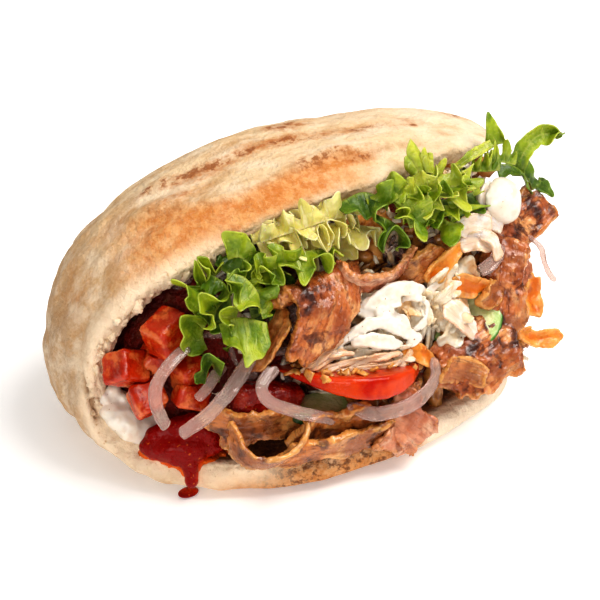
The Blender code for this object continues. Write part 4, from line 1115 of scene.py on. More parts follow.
# %% The slices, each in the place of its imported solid
SLICES = [
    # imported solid, finish, form; then its turn and a nudge, where it follows no line
    ("big", seared_meat,
     dict(path=[(0.1, 13.2, 0), (0, 7.3, 5), (-5, -0.9, 7), (-13.8, -12.7, 4)], width=38, thick=4, taper=0.74,
          cup=-5, lean=(0, 0, 0), corner=0.25, ragged=0.16, fray=0.5, bumps=0.7,
          char=[(-1, -6, 6), (5, -4, 6), (-8, -9, 5), (-13, 0, 5), (10, -2, 5), (-13, 9, 4)], seed=3)),
    ("thin_upright", golden_meat,
     dict(path=[(12.3, 10.9, -2), (6, 3.1, 2), (-1.1, -3, 2), (-8.7, -8.9, 0)], width=9, thick=1.5,
          lean=(60, 70, 40), ragged=0.2, seed=5)),
    ("torn", pink_meat,
     dict(path=[(-12.6, 2.1, 1), (-12, -2.2, 4), (-7.9, -5.6, 6), (-0.2, -7.4, 6), (7.7, -7, 5),
                (14.5, -4.5, 2)], width=8, thick=2.2, lean=(50, 60, 50), ragged=0.34, corner=0.3, fray=0.8,
          voxel=0.5, seed=6)),
    ("open", golden_meat,
     dict(path=[(-11.2, -4.6, 1), (-4.7, -3.9, 3), (3.6, -1.8, 4), (15.8, 2.1, 3)], width=11, thick=4.0,
          lean=(20, 10, 30), ragged=0.26, corner=0.3, fray=0.6, char=[(-11, 0, 6), (-5, -4, 5)], seed=7)),
    ("upright", seared_meat,
     dict(length=30, width=14, thick=5, bend=-30, cup=-2, ragged=0.2, corner=0.3, bumps=0.8,
          char=[(0, -6, 5)], seed=8), (66, -30, 0), (-1, 0, 1)),
    ("charred", seared_meat,
     dict(length=38, width=23, thick=5.6, bend=-30, cup=-3, ragged=0.22, corner=0.4, bumps=0.9,
          char=[(11, 4, 7), (6, -5, 5), (15, -4, 6), (-2, 2, 4)], seed=9), (14, -22, 0), (0, 0, 0)),
    ("end_chunk", seared_meat,
     dict(length=18, width=13, thick=9, bend=-14, ragged=0.1, corner=0.2, bumps=0.7,
          char=[(0, 2, 12), (8, 0, 10), (-8, 4, 9)], seed=10), (22, -10, 0), (-3, 0, 0)),
    ("end_side", pink_meat,
     dict(length=30, width=18, thick=5, bend=-26, cup=-2, ragged=0.24, corner=0.3, bumps=0.8, seed=20),
     (64, -14, 0), (0, 0, 0)),
    ("end_upper", seared_meat,
     dict(length=19, width=14, thick=4, bend=-30, ragged=0.24, corner=0.3, char=[(2, 0, 5)], seed=11),
     (-34, -20, 0), (1, 0, 0)),
    ("pink", pink_meat,
     dict(path=[(-30.1, -8.8, 3), (-24.6, -3.7, 3), (-18.3, 0.4, 1), (-12.8, 3.3, -2)], width=14, thick=2.2,
          lean=(10, 20, 30), ragged=0.34, corner=0.3, fray=1.0, ruffle=1.4, voxel=0.5, seed=12)),
    ("over_lip", pink_meat,
     dict(length=22, width=18, thick=2.2, bend=-46, ruffle=1.8, waves=2.2, ragged=0.3, corner=0.2, fibre=0.6,
          fray=0.8, holes=0.1, seed=13), (-52, 10, 0), (-2, 3, 0)),
    ("long_upper", golden_meat,
     dict(path=[(-21.1, 3.4, 0), (-11.9, 4.8, 2), (-1.3, 3.6, 3), (9.4, -0.8, 2), (20, -1.6, 0)], width=13,
          thick=3.0, lean=(48, 40, 30), ragged=0.22, corner=0.4, ruffle=1.2, char=[(-12, 0, 5), (6, 3, 5)],
          seed=14)),
    ("long_lower", golden_meat,
     dict(path=[(-24, 4.6, 0), (-14.7, 3.4, 2), (-1.6, 1.2, 3), (13.3, -0.1, 1), (21.2, -0.1, 0)], width=11,
          thick=2.8, lean=(40, 44, 40), ragged=0.24, corner=0.4, ruffle=1.2, char=[(-8, 0, 5), (10, 2, 5)],
          seed=15)),
    ("curled", golden_meat,
     dict(path=[(-15.8, 6.3, 0), (-16.1, 1.2, 1), (-12.8, -3.8, 3), (-4.8, -5.7, 4), (3.1, -3.5, 4),
                (8.4, 1.6, 3), (7.5, 5.6, 2)], width=7, thick=1.9, lean=(70, 60, 70, 60), ragged=0.2,
          char=[(-12, 2, 4), (2, 0, 3), (12, 2, 4)], seed=16)),
    ("behind_curl", golden_meat,
     dict(path=[(-12.9, 4.8, 0), (-7.2, 1.6, 3), (2, -1.7, 4), (11.7, -3.7, 3), (21.4, -4.9, 1)], width=13,
          thick=2.8, lean=(40, 30, 30), ragged=0.3, corner=0.3, ruffle=1.6, char=[(2, -3, 6), (-10, -2, 4)],
          seed=17)),
    ("folded_tip", golden_meat,
     dict(length=17, width=12, thick=1.8, bend=70, taper=0.5, ragged=0.26, corner=0.2, seed=18), (-30, 20, 0),
     (0, 0, 0)),
    ("end_bit", golden_meat, dict(length=11, width=6, thick=2.4, bend=40, taper=0.5, ragged=0.2, seed=19),
     (40, 0, 0), (-2, -5, -2)),
]
for name, look, sizes, *placing in SLICES:
    turns, nudge = placing or (None, (0, 0, 0))
    node = "meat_" + name
    done(lay(slab(node + "_slice", **sizes), node, turns, nudge), look, "meat", node)

# %% [markdown]
# ## Raw onion
# Rings of red onion, cut across, are flat arcs four or five millimetres wide. The flesh is clear
# enough to show what lies under it, with a fine line along it for every cell layer and a lilac
# tint at both edges. Subsurface light alone leaves it looking like wax, so most of its light goes
# straight through.

# %% The onion's finish
# raw onion flesh: wet, clear and slightly cloudy
onion_mat, t = new_material("raw_onion_cut")
mm = in_mm(t)
lines = put(t, "ShaderNodeCombineXYZ", {0: times(t, noted(t, "along"), 0.06), 1: noted(t, "across")})
layers = mask(t, lines.outputs[0], 0.8, 0.42, 0.62, detail=3)
cloudy = mask(t, mm, 6, 0.4, 0.65)
edge = step(t, noted(t, "rim"), 0.8, 0.2)
colour = paint(t, "#FAE4D8", (times(t, cloudy, 0.5), "#EEC8BA"), (times(t, layers, 0.3), "#FFF6EE"),
               (times(t, edge, 0.35), "#E0BDB8"))
finish(t, colour, relief=[(layers, 0.15)], Roughness=0.1, Subsurface_Weight=0.0, Transmission_Weight=0.76,
       IOR=1.3, Coat_Weight=0.4, Coat_Roughness=0.06)

# %% [markdown]
# Each ring was cut open and lies in its own arc, so each is typed as the line it follows, its
# width and how it leans from end to end.

# %% The onion strips
ONION = [
    # the line that each strip follows, its width, its lean from end to end
    ([(6.6, 13.9, 2), (-2, 10.1, 4), (-7.8, 5.8, 5), (-10.1, 0.6, 5), (-9.9, -4.6, 5), (-8, -9.5, 4)], 4.5,
     (10, 0, -10)),
    ([(13.2, 11.3, 3), (7.3, 6.7, 4), (0.6, 2.3, 5), (-7.1, -1.7, 5), (-13.3, -3.6, 5), (-17.7, -5, 4)], 4.9,
     (0, 0, 10)),
    ([(4.3, 6.1, 3), (-0.1, 3.7, 4), (-4.3, 0.4, 4), (-8.7, -2.3, 3)], 3.6, (20, 10, 0)),
    ([(0, 10.7, -2), (-6.2, 6.9, 0), (-5.4, 1.5, 1), (3.8, -5.1, 1), (11.6, -9.2, 1), (16.2, -11.9, 0)], 4.2,
     (30, 0, -10, 0)),
    ([(21.7, 13.7, -2), (20.7, 9.2, -1), (15.7, 5.1, 0), (8.5, 2.7, 0), (1.2, 2.6, 0), (-6.6, 4.1, 0),
      (-11.6, 7.7, -1), (-12, 10, -2)], 4.8, (-30, 0, 0, 30)),
    ([(1.5, 5.1, 0), (-0.5, 1.2, 0), (-4.8, -1.2, 0), (-8.6, -2, -1)], 4.6, (20, 0, 20)),
    ([(-7.1, 13.4, 3), (-2.5, 7.7, 2), (-1.9, 2.4, 1), (-0.3, -2.5, 0), (1.7, -5.6, 0)], 1.6, (0, 60, 0)),
]
for i, (path, width, lean) in enumerate(ONION, 1):
    node = f"onion_strip_{i}"
    strip = slab(node + "_ring", path=path, width=width, thick=1.15, lean=lean, cup=0.5, voxel=0.36,
                 fibre=0.06, bumps=0.12, fray=0.1, ragged=0.08, corner=0.3, seed=i)
    done(lay(strip, node, None), onion_mat, "onion", node)

# %% [markdown]
# ## Crisp fried onion
# Fried onion is a thin golden batter round a shrivelled strip, so it is lumpy, ragged and a little
# oily, darker in patches. Onion that softened in the sauce is pale instead, with ribs along it, and
# stained orange where the meat's juice reached it.

# %% The fried and the softened onion's finishes
# fried batter on onion
crisp_mat, t = new_material("crisp_fried_onion")
mm = in_mm(t)
batter = mask(t, mm, 5.0, 0.42, 0.62, detail=3)
dark = mask(t, mm, 4.0, 0.54, 0.7, detail=4)
edge = step(t, noted(t, "rim"), 2.2, 0.3)
colour = paint(t, "#D4741A", (times(t, batter, 0.6), "#E8A344"), (times(t, dark, 0.6), "#A8520F"),
               (times(t, edge, 0.45), "#F0C67C"))
oil = put(t, "ShaderNodeTexNoise", {"Vector": mm, "Scale": 1 / 1.4, "Detail": 4.0}).outputs[0]
finish(t, colour, relief=[(oil, 0.3)], Roughness=0.36, Subsurface_Weight=0.3, Subsurface_Radius=(1, 0.6, 0.2),
       Subsurface_Scale=0.002, Coat_Weight=0.2, Coat_Roughness=0.2)
# onion softened in sauce
petal_mat, t = new_material("softened_onion_petal")
mm = in_mm(t)
ribs = put(t, "ShaderNodeCombineXYZ", {0: times(t, noted(t, "along"), 0.1), 1: noted(t, "across")})
ribs = mask(t, ribs.outputs[0], 1.3, 0.42, 0.6, detail=2)
stained = step(t, put(t, "ShaderNodeSeparateXYZ", {0: mm}).outputs[0], 26, 12)
colour = paint(t, "#F0D2BA", (times(t, mask(t, mm, 6, 0.4, 0.62), 0.8), "#FAEEE4"),
               (times(t, ribs, 0.3), "#DCB08C"),
               (times(t, step(t, noted(t, "rim"), 1.2, 0.2), 0.35), "#DC9A58"),
               (times(t, stained, 0.4), "#E4A468"))
finish(t, colour, relief=[(ribs, 0.15)], Roughness=0.28, Subsurface_Weight=0.4,
       Subsurface_Radius=(1, 0.7, 0.4), Subsurface_Scale=0.003, Coat_Weight=0.3, Coat_Roughness=0.12)

# %% [markdown]
# The flakes share one thin, ragged form, and each changes what it must of it. One of them is a
# shaving of meat and one a softened petal, which is why the finish is typed with the flake.

# %% The crisp flakes
FLAKE = dict(thick=1.0, ragged=0.34, corner=0.7, ruffle=1.0, waves=2.0, voxel=0.45, fibre=0.2, bumps=0.3,
             fray=0.3, grain=1.8, cup=1.2)
CRISPS = [
    # finish, turn (or None where it follows a path), form
    (crisp_mat, None,
     dict(path=[(-7, -3.2, 0), (-1, -0.5, 1), (5.2, 2.9, 1), (12.3, 6.1, 0)], width=8, thick=1.6, taper=0.55,
          lean=(20, -10, 10), ragged=0.16)),
    (crisp_mat, (-24, 20, 0), dict(length=14, width=8, bend=-50, taper=0.4)),
    (golden_meat, (40, 0, 0), dict(length=11, width=8, thick=3.0, bend=-20)),
    (petal_mat, (-58, -14, 0), dict(length=17, width=12, bend=-40, taper=0.5, ragged=0.14, ruffle=0.4)),
    (crisp_mat, (-30, 0, 0), dict(length=15, width=9, bend=-24, ragged=0.34)),
    (crisp_mat, (70, 0, 0), dict(length=16, width=8, bend=50, taper=0.3)),
    (crisp_mat, (-18, 0, 0), dict(length=20, width=5, bend=70, sweep=50, ragged=0.34)),
]
for i, (look, turns, sizes) in enumerate(CRISPS, 1):
    node = f"fried_onion_{i}"
    flake = slab(node + "_flake", **{**FLAKE, "seed": 30 + i, **sizes})
    done(lay(flake, node, turns), look, "crisp", node)

# %% [markdown]
# ## Tomato
# The diced tomato shows cut flesh: wet, orange-red, with paler strands and a few dark hollows of
# gel. A knife leaves flat faces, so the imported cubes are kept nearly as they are: their edges are
# rounded by half a millimetre and their faces dented a little.

# %% The diced tomato
# cut tomato flesh
dice_mat, t = new_material("tomato_flesh_cut")
mm = in_mm(t)
strands = mask(t, in_mm(t, stretch=(1, 0.6, 1), turn=(20, 0, 30)), 4.5, 0.46, 0.62, detail=3)
gel = mask(t, mm, 5.5, 0.52, 0.64, detail=3)
colour = paint(t, "#C0380E", (times(t, strands, 0.8), "#E07E44"), (times(t, gel, 0.6), "#941A04"))
cells = put(t, "ShaderNodeTexNoise", {"Vector": mm, "Scale": 1 / 0.9, "Detail": 4.0}).outputs[0]
finish(t, colour, relief=[(cells, 0.3)], Roughness=0.16, Subsurface_Weight=0.2,
       Subsurface_Radius=(1, 0.15, 0.02), Subsurface_Scale=0.004, Coat_Weight=0.25, Coat_Roughness=0.06,
       Specular_IOR_Level=0.4)
for i in range(1, 7):
    node = f"tomato_dice_{i}"
    cube = softened(node + "_cut", [node], 0.5, rounds=6, subdivide=0)
    roughen(cube, (0.45, 4.5, i), (0.14, 1.2, i + 9))
    done(cube, dice_mat, "tomato", node)

# %% [markdown]
# The wedge shows the inside of a tomato: dark gel over red flesh, and pale seeds in it. A Voronoi
# texture gives round spots at even distances, and only the core of each spot becomes a seed.

# %% The wedge
wedge = softened("tomato_wedge_cut", ["tomato_wedge"], 0.6, rounds=8, subdivide=0)
roughen(wedge, (0.6, 6, 2), (0.2, 1.8, 3))
# gel and seeds of a ripe tomato
gel_mat, t = new_material("tomato_gel_and_skin")
mm = in_mm(t)
seed_cells = put(t, "ShaderNodeTexVoronoi", {"Vector": mm, "Scale": 1 / 3.2}).outputs["Distance"]
colour = paint(t, "#8A1407", (mask(t, mm, 5, 0.45, 0.6), "#A82C10"),
               (step(t, seed_cells, 0.16, 0.08), "#C07A3A"))
finish(t, colour, relief=[(mask(t, mm, 2.0, 0.3, 0.7), 0.4)], Roughness=0.12, Subsurface_Weight=0.3,
       Subsurface_Radius=(1, 0.2, 0.1), Subsurface_Scale=0.003, Coat_Weight=0.3, Coat_Roughness=0.05)
done(wedge, gel_mat, "tomato", "tomato_wedge")

# %% [markdown]
# Tomato and cucumber slices are round, and their skin, flesh and gel lie in rings. So every point
# notes how far it is from the slice's middle, as a share of the radius, and the finishes colour
# by that. A slice may be tipped forward about its front rim, and thinned from below towards its
# ends, where a knife comes out of the fruit.

# %% The form of a round slice


def round_slice(name, node, turns, radius, voxel=0.6, tip=0, nudge=(0, 0, 0), thinned=0):
    """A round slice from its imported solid; the radius in mm, the tip in degrees."""
    obj = softened(name, [node], voxel, rounds=4, subdivide=0)
    at, normal = points_of(obj)
    own = at @ np.array(turned(*turns))
    x, y = own[:, 0], own[:, 1]
    x = x - (x.min() + x.max()) / 2
    y = y - (y.min() + radius)
    z = own[:, 2] - (own[:, 2].min() + own[:, 2].max()) / 2
    note(obj, "from_middle", np.hypot(x, y) / radius)
    if thinned:
        aside = np.clip(np.abs(at[:, 0] - (at[:, 0].min() + at[:, 0].max()) / 2) / radius, 0, 1)
        depth = 1.15 - thinned * aside ** 2
        at = at + np.outer((z.max() - z) * (1 - depth), np.array(turned(*turns))[:, 2])
    at = at + normal * (0.15 * clouds(at, 4, 1))[:, None]
    front = at[np.argmin(at[:, 1])]
    tipped = np.array(Matrix.Rotation(math.radians(tip), 3, ALONG))
    set_points(obj, (at - front) @ tipped.T + front + np.array(FACE @ Vector(nudge)))
    return obj


# %% [markdown]
# The tomato slice is the largest piece of tomato. Its rim is skin, seven hundredths of the radius
# wide and blotched with orange, and gel shines darker between the walls of flesh.

# %% The tomato slice
# a slice of tomato with its skin
ring_mat, t = new_material("tomato_slice_skin_and_gel")
mm = in_mm(t)
out = noted(t, "from_middle")
gel = times(t, step(t, out, 0.88, 0.80), mask(t, mm, 6, 0.36, 0.5))
skin = step(t, out, 0.93, 0.97)
colour = paint(t, "#C63C10", (mask(t, mm, 1.6, 0.45, 0.7), "#D65A1E"), (times(t, gel, 0.85), "#8E1604"),
               (skin, "#B81A02"), (times(t, skin, times(t, mask(t, mm, 12, 0.38, 0.6), 0.85)), "#D84A0C"))
finish(t, colour, relief=[(mask(t, mm, 1.0, 0.3, 0.7), 0.08)], Roughness=0.16, Subsurface_Weight=0.1,
       Subsurface_Radius=(1, 0.1, 0.02), Subsurface_Scale=0.003, Coat_Weight=0.15, Coat_Roughness=0.05,
       Specular_IOR_Level=0.3)
tomato = round_slice("tomato_slice_cut", "tomato_slice", (-14, -58, 0), 26, tip=-20, nudge=(1.5, 4.6, 0),
                     thinned=1.0)
done(tomato, ring_mat, "tomato", "tomato_slice")

# %% [markdown]
# ## Cucumber
# The slices have a dark rind a millimetre thick, a green ring under it, and clear pale flesh. The
# rings are steps at a share of the radius again.

# %% The cucumber slices
# raw cucumber, cut across
cucumber_mat, t = new_material("cucumber_slice_raw")
mm = in_mm(t)
out = noted(t, "from_middle")
colour = paint(t, "#DAD9A2", (mask(t, mm, 3.0, 0.4, 0.7), "#C6CC8C"), (step(t, out, 0.66, 0.84), "#B9CE84"),
               (step(t, out, 0.90, 0.94), "#5E8A34"), (step(t, out, 0.95, 0.98), "#27501F"))
finish(t, colour, relief=[(mask(t, mm, 1.2, 0.3, 0.7), 0.15)], Roughness=0.2, Subsurface_Weight=0.4,
       Subsurface_Radius=(0.9, 1.0, 0.4), Subsurface_Scale=0.004, Coat_Weight=0.4, Coat_Roughness=0.08)
# the turn of each slice, its radius and a nudge
CUCUMBER = [((32, -34, 0), 14, (-2, -2, -1)), ((-10, -60, 0), 12, (0, 0, 0))]
for i, (turns, radius, nudge) in enumerate(CUCUMBER, 1):
    node = f"cucumber_slice_{i}"
    done(round_slice(node + "_cut", node, turns, radius, 0.45, nudge=nudge), cucumber_mat, "cucumber", node)

# %% [markdown]
# ## The sauces
# The white sauce is thick yoghurt and garlic: matt in its folds, glossy on top, never quite white.
# The chili sauce is clear: nearly black-red where it pools and orange where it runs thin over the
# bread, so its colour follows how far it stands off the crust below.

# %% The white sauce
# yoghurt with garlic and a little spice
white_mat, t = new_material("garlic_yoghurt_sauce")
mm = in_mm(t)
specks = mask(t, mm, 1.1, 0.74, 0.78, detail=1)
stained = mask(t, in_mm(t, shift=(20, 0, 0)), 5, 0.52, 0.64)
colour = paint(t, "#F2E8DA", (times(t, mask(t, mm, 6, 0.42, 0.62), 0.5), "#EBD8BE"),
               (times(t, stained, 0.25), "#E2B698"), (specks, "#A2743C"))
folds = put(t, "ShaderNodeTexNoise", {"Vector": mm, "Scale": 1 / 5.0, "Detail": 2.0}).outputs[0]
finish(t, colour, relief=[(folds, 0.6)], Roughness=0.28, Subsurface_Weight=0.4,
       Subsurface_Radius=(1, 0.9, 0.7), Subsurface_Scale=0.003, Coat_Weight=0.25, Coat_Roughness=0.15)

# %% [markdown]
# Where the sauce was stirred through cabbage it hangs in folds, each over a strip. Thin sheets are
# laid along the folds' lines and joined, and one more remeshing melts them into each other where
# they touch, as thick sauce does.

# %% Folds of sauce over the cabbage


def bunch(name, node, pieces, **form):
    """Several sheets in one piece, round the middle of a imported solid."""
    sheets = [lay(slab(f"{name}_{i}", path=path, width=width, thick=thick, seed=50 + i, **form), node, None)
              for i, (path, width, thick) in enumerate(pieces)]
    return new_piece(name, joined(name, [sheet.data for sheet in sheets]))


SLAW = [
    # the line that each fold follows, its width and its thickness
    ([(-7.7, 2.9, 0), (-3.6, 6.5, 2), (3.2, 7.9, 3), (11.4, 6.3, 2), (18.6, 2.5, 1)], 4.3, 1.5),
    ([(-5.2, 2.2, 1), (-0.7, 4.2, 3), (5.7, 3.9, 3)], 4, 1.2),
    ([(6.1, 2.7, 0), (9.5, 3.9, 2), (14.2, 1.8, 2), (15.6, -1.9, 2), (13.3, -5.6, 2), (9.1, -7.7, 1)], 2.9,
     0.9),
    ([(-13.1, -2.6, 1), (-8.6, -0.5, 3), (-2.8, -1.4, 4), (3.2, -6.1, 4), (7.9, -10.3, 2)], 4.3, 1.6),
    ([(-16.7, -4.9, 2), (-11.2, -5, 4), (-3.8, -7.8, 4), (3.1, -10.8, 3)], 4.3, 1.6),
    ([(-4, 0.7, 1), (-11.7, -0.7, 1), (-19, -3.8, 0), (-25.3, -7.5, -1)], 2.9, 0.9),
    ([(-10, -1.6, 2), (-17.3, -3.2, 1), (-23.1, -5.2, 0)], 2.6, 0.9),
    ([(-18.3, -5.5, 0), (-23.9, -6.5, 0), (-28.5, -8.5, 0), (-27.1, -10.7, 0)], 2.8, 1.5),
    ([(-5.6, 2.3, 2), (-1, 2.1, 4), (3.6, -1.8, 4), (7, -6, 3)], 2.9, 1.1),
    ([(-4.9, -3.1, 4), (0.3, -3.1, 5), (5.3, -7.4, 4)], 2.8, 1.1),
    ([(16.5, 3.8, 1), (22.1, 4.8, 1), (27.2, 6.6, 0)], 2.8, 0.9),
    ([(-8.7, 2.5, 0), (-7, 5.6, 0), (-3.7, 7.3, 1)], 3.1, 1.1),
    ([(3.6, -11, 2), (7.2, -10.9, 3), (10.7, -8.9, 2)], 2.9, 1.1),
]
slaw = bunch("white_sauce_folds", "white_sauce_slaw", SLAW, cup=0.7, voxel=0.55, fibre=0.1, bumps=0.4,
             fray=0.2, ragged=0.2)
even_out(slaw, 0.42, 3)
roughen(slaw, (0.35, 5, 4), (0.2, 2, 6))
done(slaw, white_mat, "white_sauce", "white_sauce_slaw")

# %% [markdown]
# Sauce that runs over the crust is thin, and its edge bulges. Its outline is a row of spots that
# run together, laid out on a slope in front of the bread. From each point of a grid on that slope
# a ray falls on the crust, and the sauce's skin lies above the place it meets: thickest in the
# middle, sinking in at the rim.

# %% Sauce that lies on the crust
SLANT = 0.707  # across and down alike, so a fall at 45 degrees
crust_under = BVHTree.FromObject(bread, bpy.context.evaluated_depsgraph_get())
print("crust to lay sauce on:", len(bread.data.polygons), "faces")


def draped(name, spots, thick, reach=1.3, voxel=0.5, melt=1.2, sunk=0.35):
    """Sauce laid on the crust from in front and above: (along, up the slope, radius) of its spots."""
    fall = np.array((0, SLANT, -SLANT))
    slope = np.array((0, SLANT, SLANT))
    discs = np.array(spots, float)
    low, high = (discs[:, :2] - discs[:, 2:]).min(0) - 2, (discs[:, :2] + discs[:, 2:]).max(0) + 2
    u, w = np.meshgrid(np.arange(low[0], high[0], voxel), np.arange(low[1], high[1], voxel), indexing="ij")
    gaps = np.hypot(u[..., None] - discs[:, 0], w[..., None] - discs[:, 1]) - discs[:, 2]
    inside = np.log(np.exp(-gaps / melt).sum(-1)) * melt
    flat = np.stack([u, w, 0 * u], 2).reshape(-1, 3)
    inside = inside + (0.8 * clouds(flat, 4.5, 2) + 0.35 * clouds(flat, 1.6, 3)).reshape(u.shape)
    height = thick * np.sqrt(1 - np.exp(-np.clip(inside, 0, None) / reach)) - sunk
    points, kept = np.zeros(u.shape + (3,)), inside > -0.4
    for i, j in np.ndindex(u.shape):
        start = np.array((u[i, j], 0, 0)) + slope * w[i, j]
        place = crust_under.ray_cast(Vector((start - fall * 120) * MM), Vector(fall))[0]
        kept[i, j] &= place is not None
        if place is not None:
            points[i, j] = np.array(place) / MM
    settled = points.copy()
    for _ in range(3):
        around = settled[:-2, 1:-1] + settled[2:, 1:-1] + settled[1:-1, :-2] + settled[1:-1, 2:]
        settled[1:-1, 1:-1] = around / 4
    over_edge = np.clip(height, 0, None)[..., None]
    points = np.where(over_edge > 0.3, settled, points) - fall * height[..., None]
    keep = kept[:-1, :-1] & kept[1:, :-1] & kept[:-1, 1:] & kept[1:, 1:]
    obj = new_piece(name, grid_mesh(name, points, u, w, keep))
    body = obj.modifiers.new("Body", "SOLIDIFY")
    body.thickness, body.offset = 0.9 * MM, -1
    smooth = obj.modifiers.new("Smooth", "SMOOTH")
    smooth.iterations = 3
    return settle(obj)


# %% [markdown]
# A spoonful keeps the shape in which it fell: rounded lumps, melted together. Balls of a few
# millimetres, remeshed as one and smoothed, give that. The sauce on the lip is made so, and the
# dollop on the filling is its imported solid, softened.

# %% Spoonfuls
LEFT = [
    # along, up and out of each spoonful's middle, and its radius
    (1.2, 11.5, -8, 3), (3.6, 8.6, -8, 3.2), (-2.7, 10.8, -8, 2.6), (-1.4, 6.7, -8, 3.8), (0.7, 2.8, -7, 4.8),
    (3, -0.4, -5.5, 5.2), (6.4, -2.9, -5.5, 5.2), (9.2, -5.1, -5, 4.6), (11.3, -6.8, -4.5, 3.2),
    (4.3, 5.1, -8, 4), (7.1, 1.7, -7.5, 4.4), (9.1, -1.4, -6, 4.2),
]


def spooned(name, node, balls, voxel=0.6, rounds=8):
    """Sauce in a heap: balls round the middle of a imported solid, melted together."""
    bm = bmesh.new()
    for along, up, out, radius in balls:
        centre = Vector(middle(node)) + FACE @ Vector((along, up, out))
        grown = bmesh.ops.create_icosphere(bm, subdivisions=3, radius=radius * MM)["verts"]
        bmesh.ops.translate(bm, vec=centre * MM, verts=grown)
    mesh = bpy.data.meshes.new(name)
    bm.to_mesh(mesh)
    bm.free()
    obj = new_piece(name, mesh)
    even_out(obj, voxel, rounds)
    return obj


left = spooned("white_sauce_on_lip", "white_sauce_left", LEFT)
roughen(left, (1.1, 6, 4), (0.3, 2.4, 6))
done(left, white_mat, "white_sauce", "white_sauce_left")
dollop = softened("white_sauce_spoonful", ["white_sauce_dollop"], 0.55, rounds=5)
roughen(dollop, (0.5, 10, 4))
done(dollop, white_mat, "white_sauce", "white_sauce_dollop")

# %% [markdown]
# The chili sauce ran from the filling over the crust and let one drop fall on the table, which is
# a flattened ball here. Each point of the sauce notes how far it stands off the crust, which is
# the depth that the light goes through, and from that comes its colour.

# %% The chili sauce on the crust
# chili sauce with seeds, thin over the crust and deep in the middle
chili_mat, t = new_material("chili_sauce_clear_red")
depth = noted(t, "above_crust")
seeds = mask(t, in_mm(t), 1.3, 0.68, 0.73, detail=1)
colour = paint(t, "#E86E1E", (step(t, depth, 0.4, 1.6), "#C4340A"), (step(t, depth, 1.6, 3.4), "#8E0A02"),
               (times(t, seeds, 0.6), "#D8742C"))
finish(t, colour, relief=[(mask(t, in_mm(t), 3.2, 0.3, 0.7), 0.7)], Roughness=0.16, Subsurface_Weight=0.1,
       Subsurface_Radius=(1, 0.12, 0.02), Subsurface_Scale=0.004, Coat_Weight=0.14, Coat_Roughness=0.03,
       Specular_IOR_Level=0.15)


def note_depth(obj):
    """Note for each point how far it stands off the crust, in millimetres."""
    off = [crust_under.find_nearest(Vector(p) * MM)[3] / MM for p in points_of(obj)[0]]
    note(obj, "above_crust", np.array(off))
    print(obj.name, "stands off the crust by up to", round(max(off), 1), "mm")


CHILI = [(-74, -8.5, 2.2), (-70.5, -8.5, 3.4), (-67, -9.5, 4.6), (-62, -11, 5.4), (-57, -12, 5.4),
         (-52, -13, 5.2), (-47.5, -14.5, 3.6), (-45, -16.5, 1.8), (-69, -13.5, 2.8),
         (-62.5, -15.5, 4.4), (-56, -16.5, 3.0), (-63.8, -18.5, 2.4), (-64.2, -21, 1.5)]
chili = draped("chili_sauce_spill", CHILI, 2.6, reach=1.6, voxel=0.45)
DROP, DROP_AT = (3.6, 2.6, 0.9), (-64.6, -37.6, 0.95)  # the half sizes of the fallen drop, and its middle
bm = bmesh.new()
bm.from_mesh(chili.data)
for v in bmesh.ops.create_icosphere(bm, subdivisions=4, radius=MM)["verts"]:
    v.co = Vector([v.co[k] * DROP[k] + DROP_AT[k] * MM for k in range(3)])
bm.to_mesh(chili.data)
bm.free()
note_depth(chili)
done(chili, chili_mat, "chili_sauce", "chili_sauce", "chili_drip")

# %% [markdown]
# Where the sauce left the filling it stands in a pool: spoonfuls again, but smoothed many times,
# because this sauce is thin enough to level out.

# %% The pool of chili sauce
POOL = [
    # along, up and out of each ball's middle, and its radius
    (-8, 5.7, -11, 4), (-4.3, 6.1, -10, 4.6), (-0.3, 6.4, -8, 5), (3.4, 6.1, -5, 5), (6.8, 2.9, -3, 4),
    (-11.3, 3.7, -12, 3), (-8.5, 2.5, -10, 4), (-5.4, 1.3, -8, 4.5), (-1.8, 0.2, -6, 4.8),
    (2.3, -0.6, -5, 4.6), (7.1, -1.2, -5, 4), (10, -2, -4, 3), (-4.9, -2.2, -7, 3), (-1.6, -3.5, -5.4, 3.2),
    (2.8, -3.7, -6, 3), (-7.5, -0.7, -9, 2.6), (-9.9, 0.7, -11.5, 2.4), (-1.5, -6.1, -4.6, 2.6),
    (-1.7, -8.7, -4.8, 2.4), (-2.2, -11.1, -5.2, 2.4),
]
pool = spooned("chili_sauce_pool", "chili_sauce", POOL, voxel=0.5, rounds=26)
roughen(pool, (0.7, 6, 4), (0.15, 2.4, 6))
note_depth(pool)
done(pool, chili_mat, "chili_sauce")

# %% [markdown]
# ## The heart of the filling
# Between the big pieces lie shreds: white cabbage, onion, bits of meat. The imported heap becomes a
# smaller core, painted dark as the shade deep between the pieces, and Geometry Nodes lay real
# shreds over it. The shreds are short curved ribbons, a few faces each, in several shapes, turned at
# random but lying close to the surface.

# %% The core under the shreds
core = softened("filling_heart", ["filling_core"], 1.6, rounds=4, subdivide=1)
roughen(core, (1.3, 8, 1), (0.6, 3, 2), by=-2.2)
# painted shade: meat, onion, tomato and herbs as they look in the shade deep in the bread, redder towards the
# closed end
core_mat, t = new_material("mixed_shreds_in_shade")
mm = in_mm(t)
redder = step(t, put(t, "ShaderNodeSeparateXYZ", {0: mm}).outputs[0], -20, -45)
colour = paint(t, "#5E2A14", (mask(t, mm, 5, 0.5, 0.6, detail=3), "#9A6840"),
               (times(t, redder, 0.8), "#6E1608"),
               (mask(t, in_mm(t, shift=(40, 0, 0)), 7, 0.50, 0.60), "#86200F"),
               (mask(t, in_mm(t, shift=(0, 60, 0)), 9, 0.58, 0.68), "#4C5A1A"))
finish(t, colour, relief=[(mask(t, mm, 2, 0.3, 0.7), 0.8)], Roughness=0.4)
done(core, core_mat, "cabbage", "filling_core")

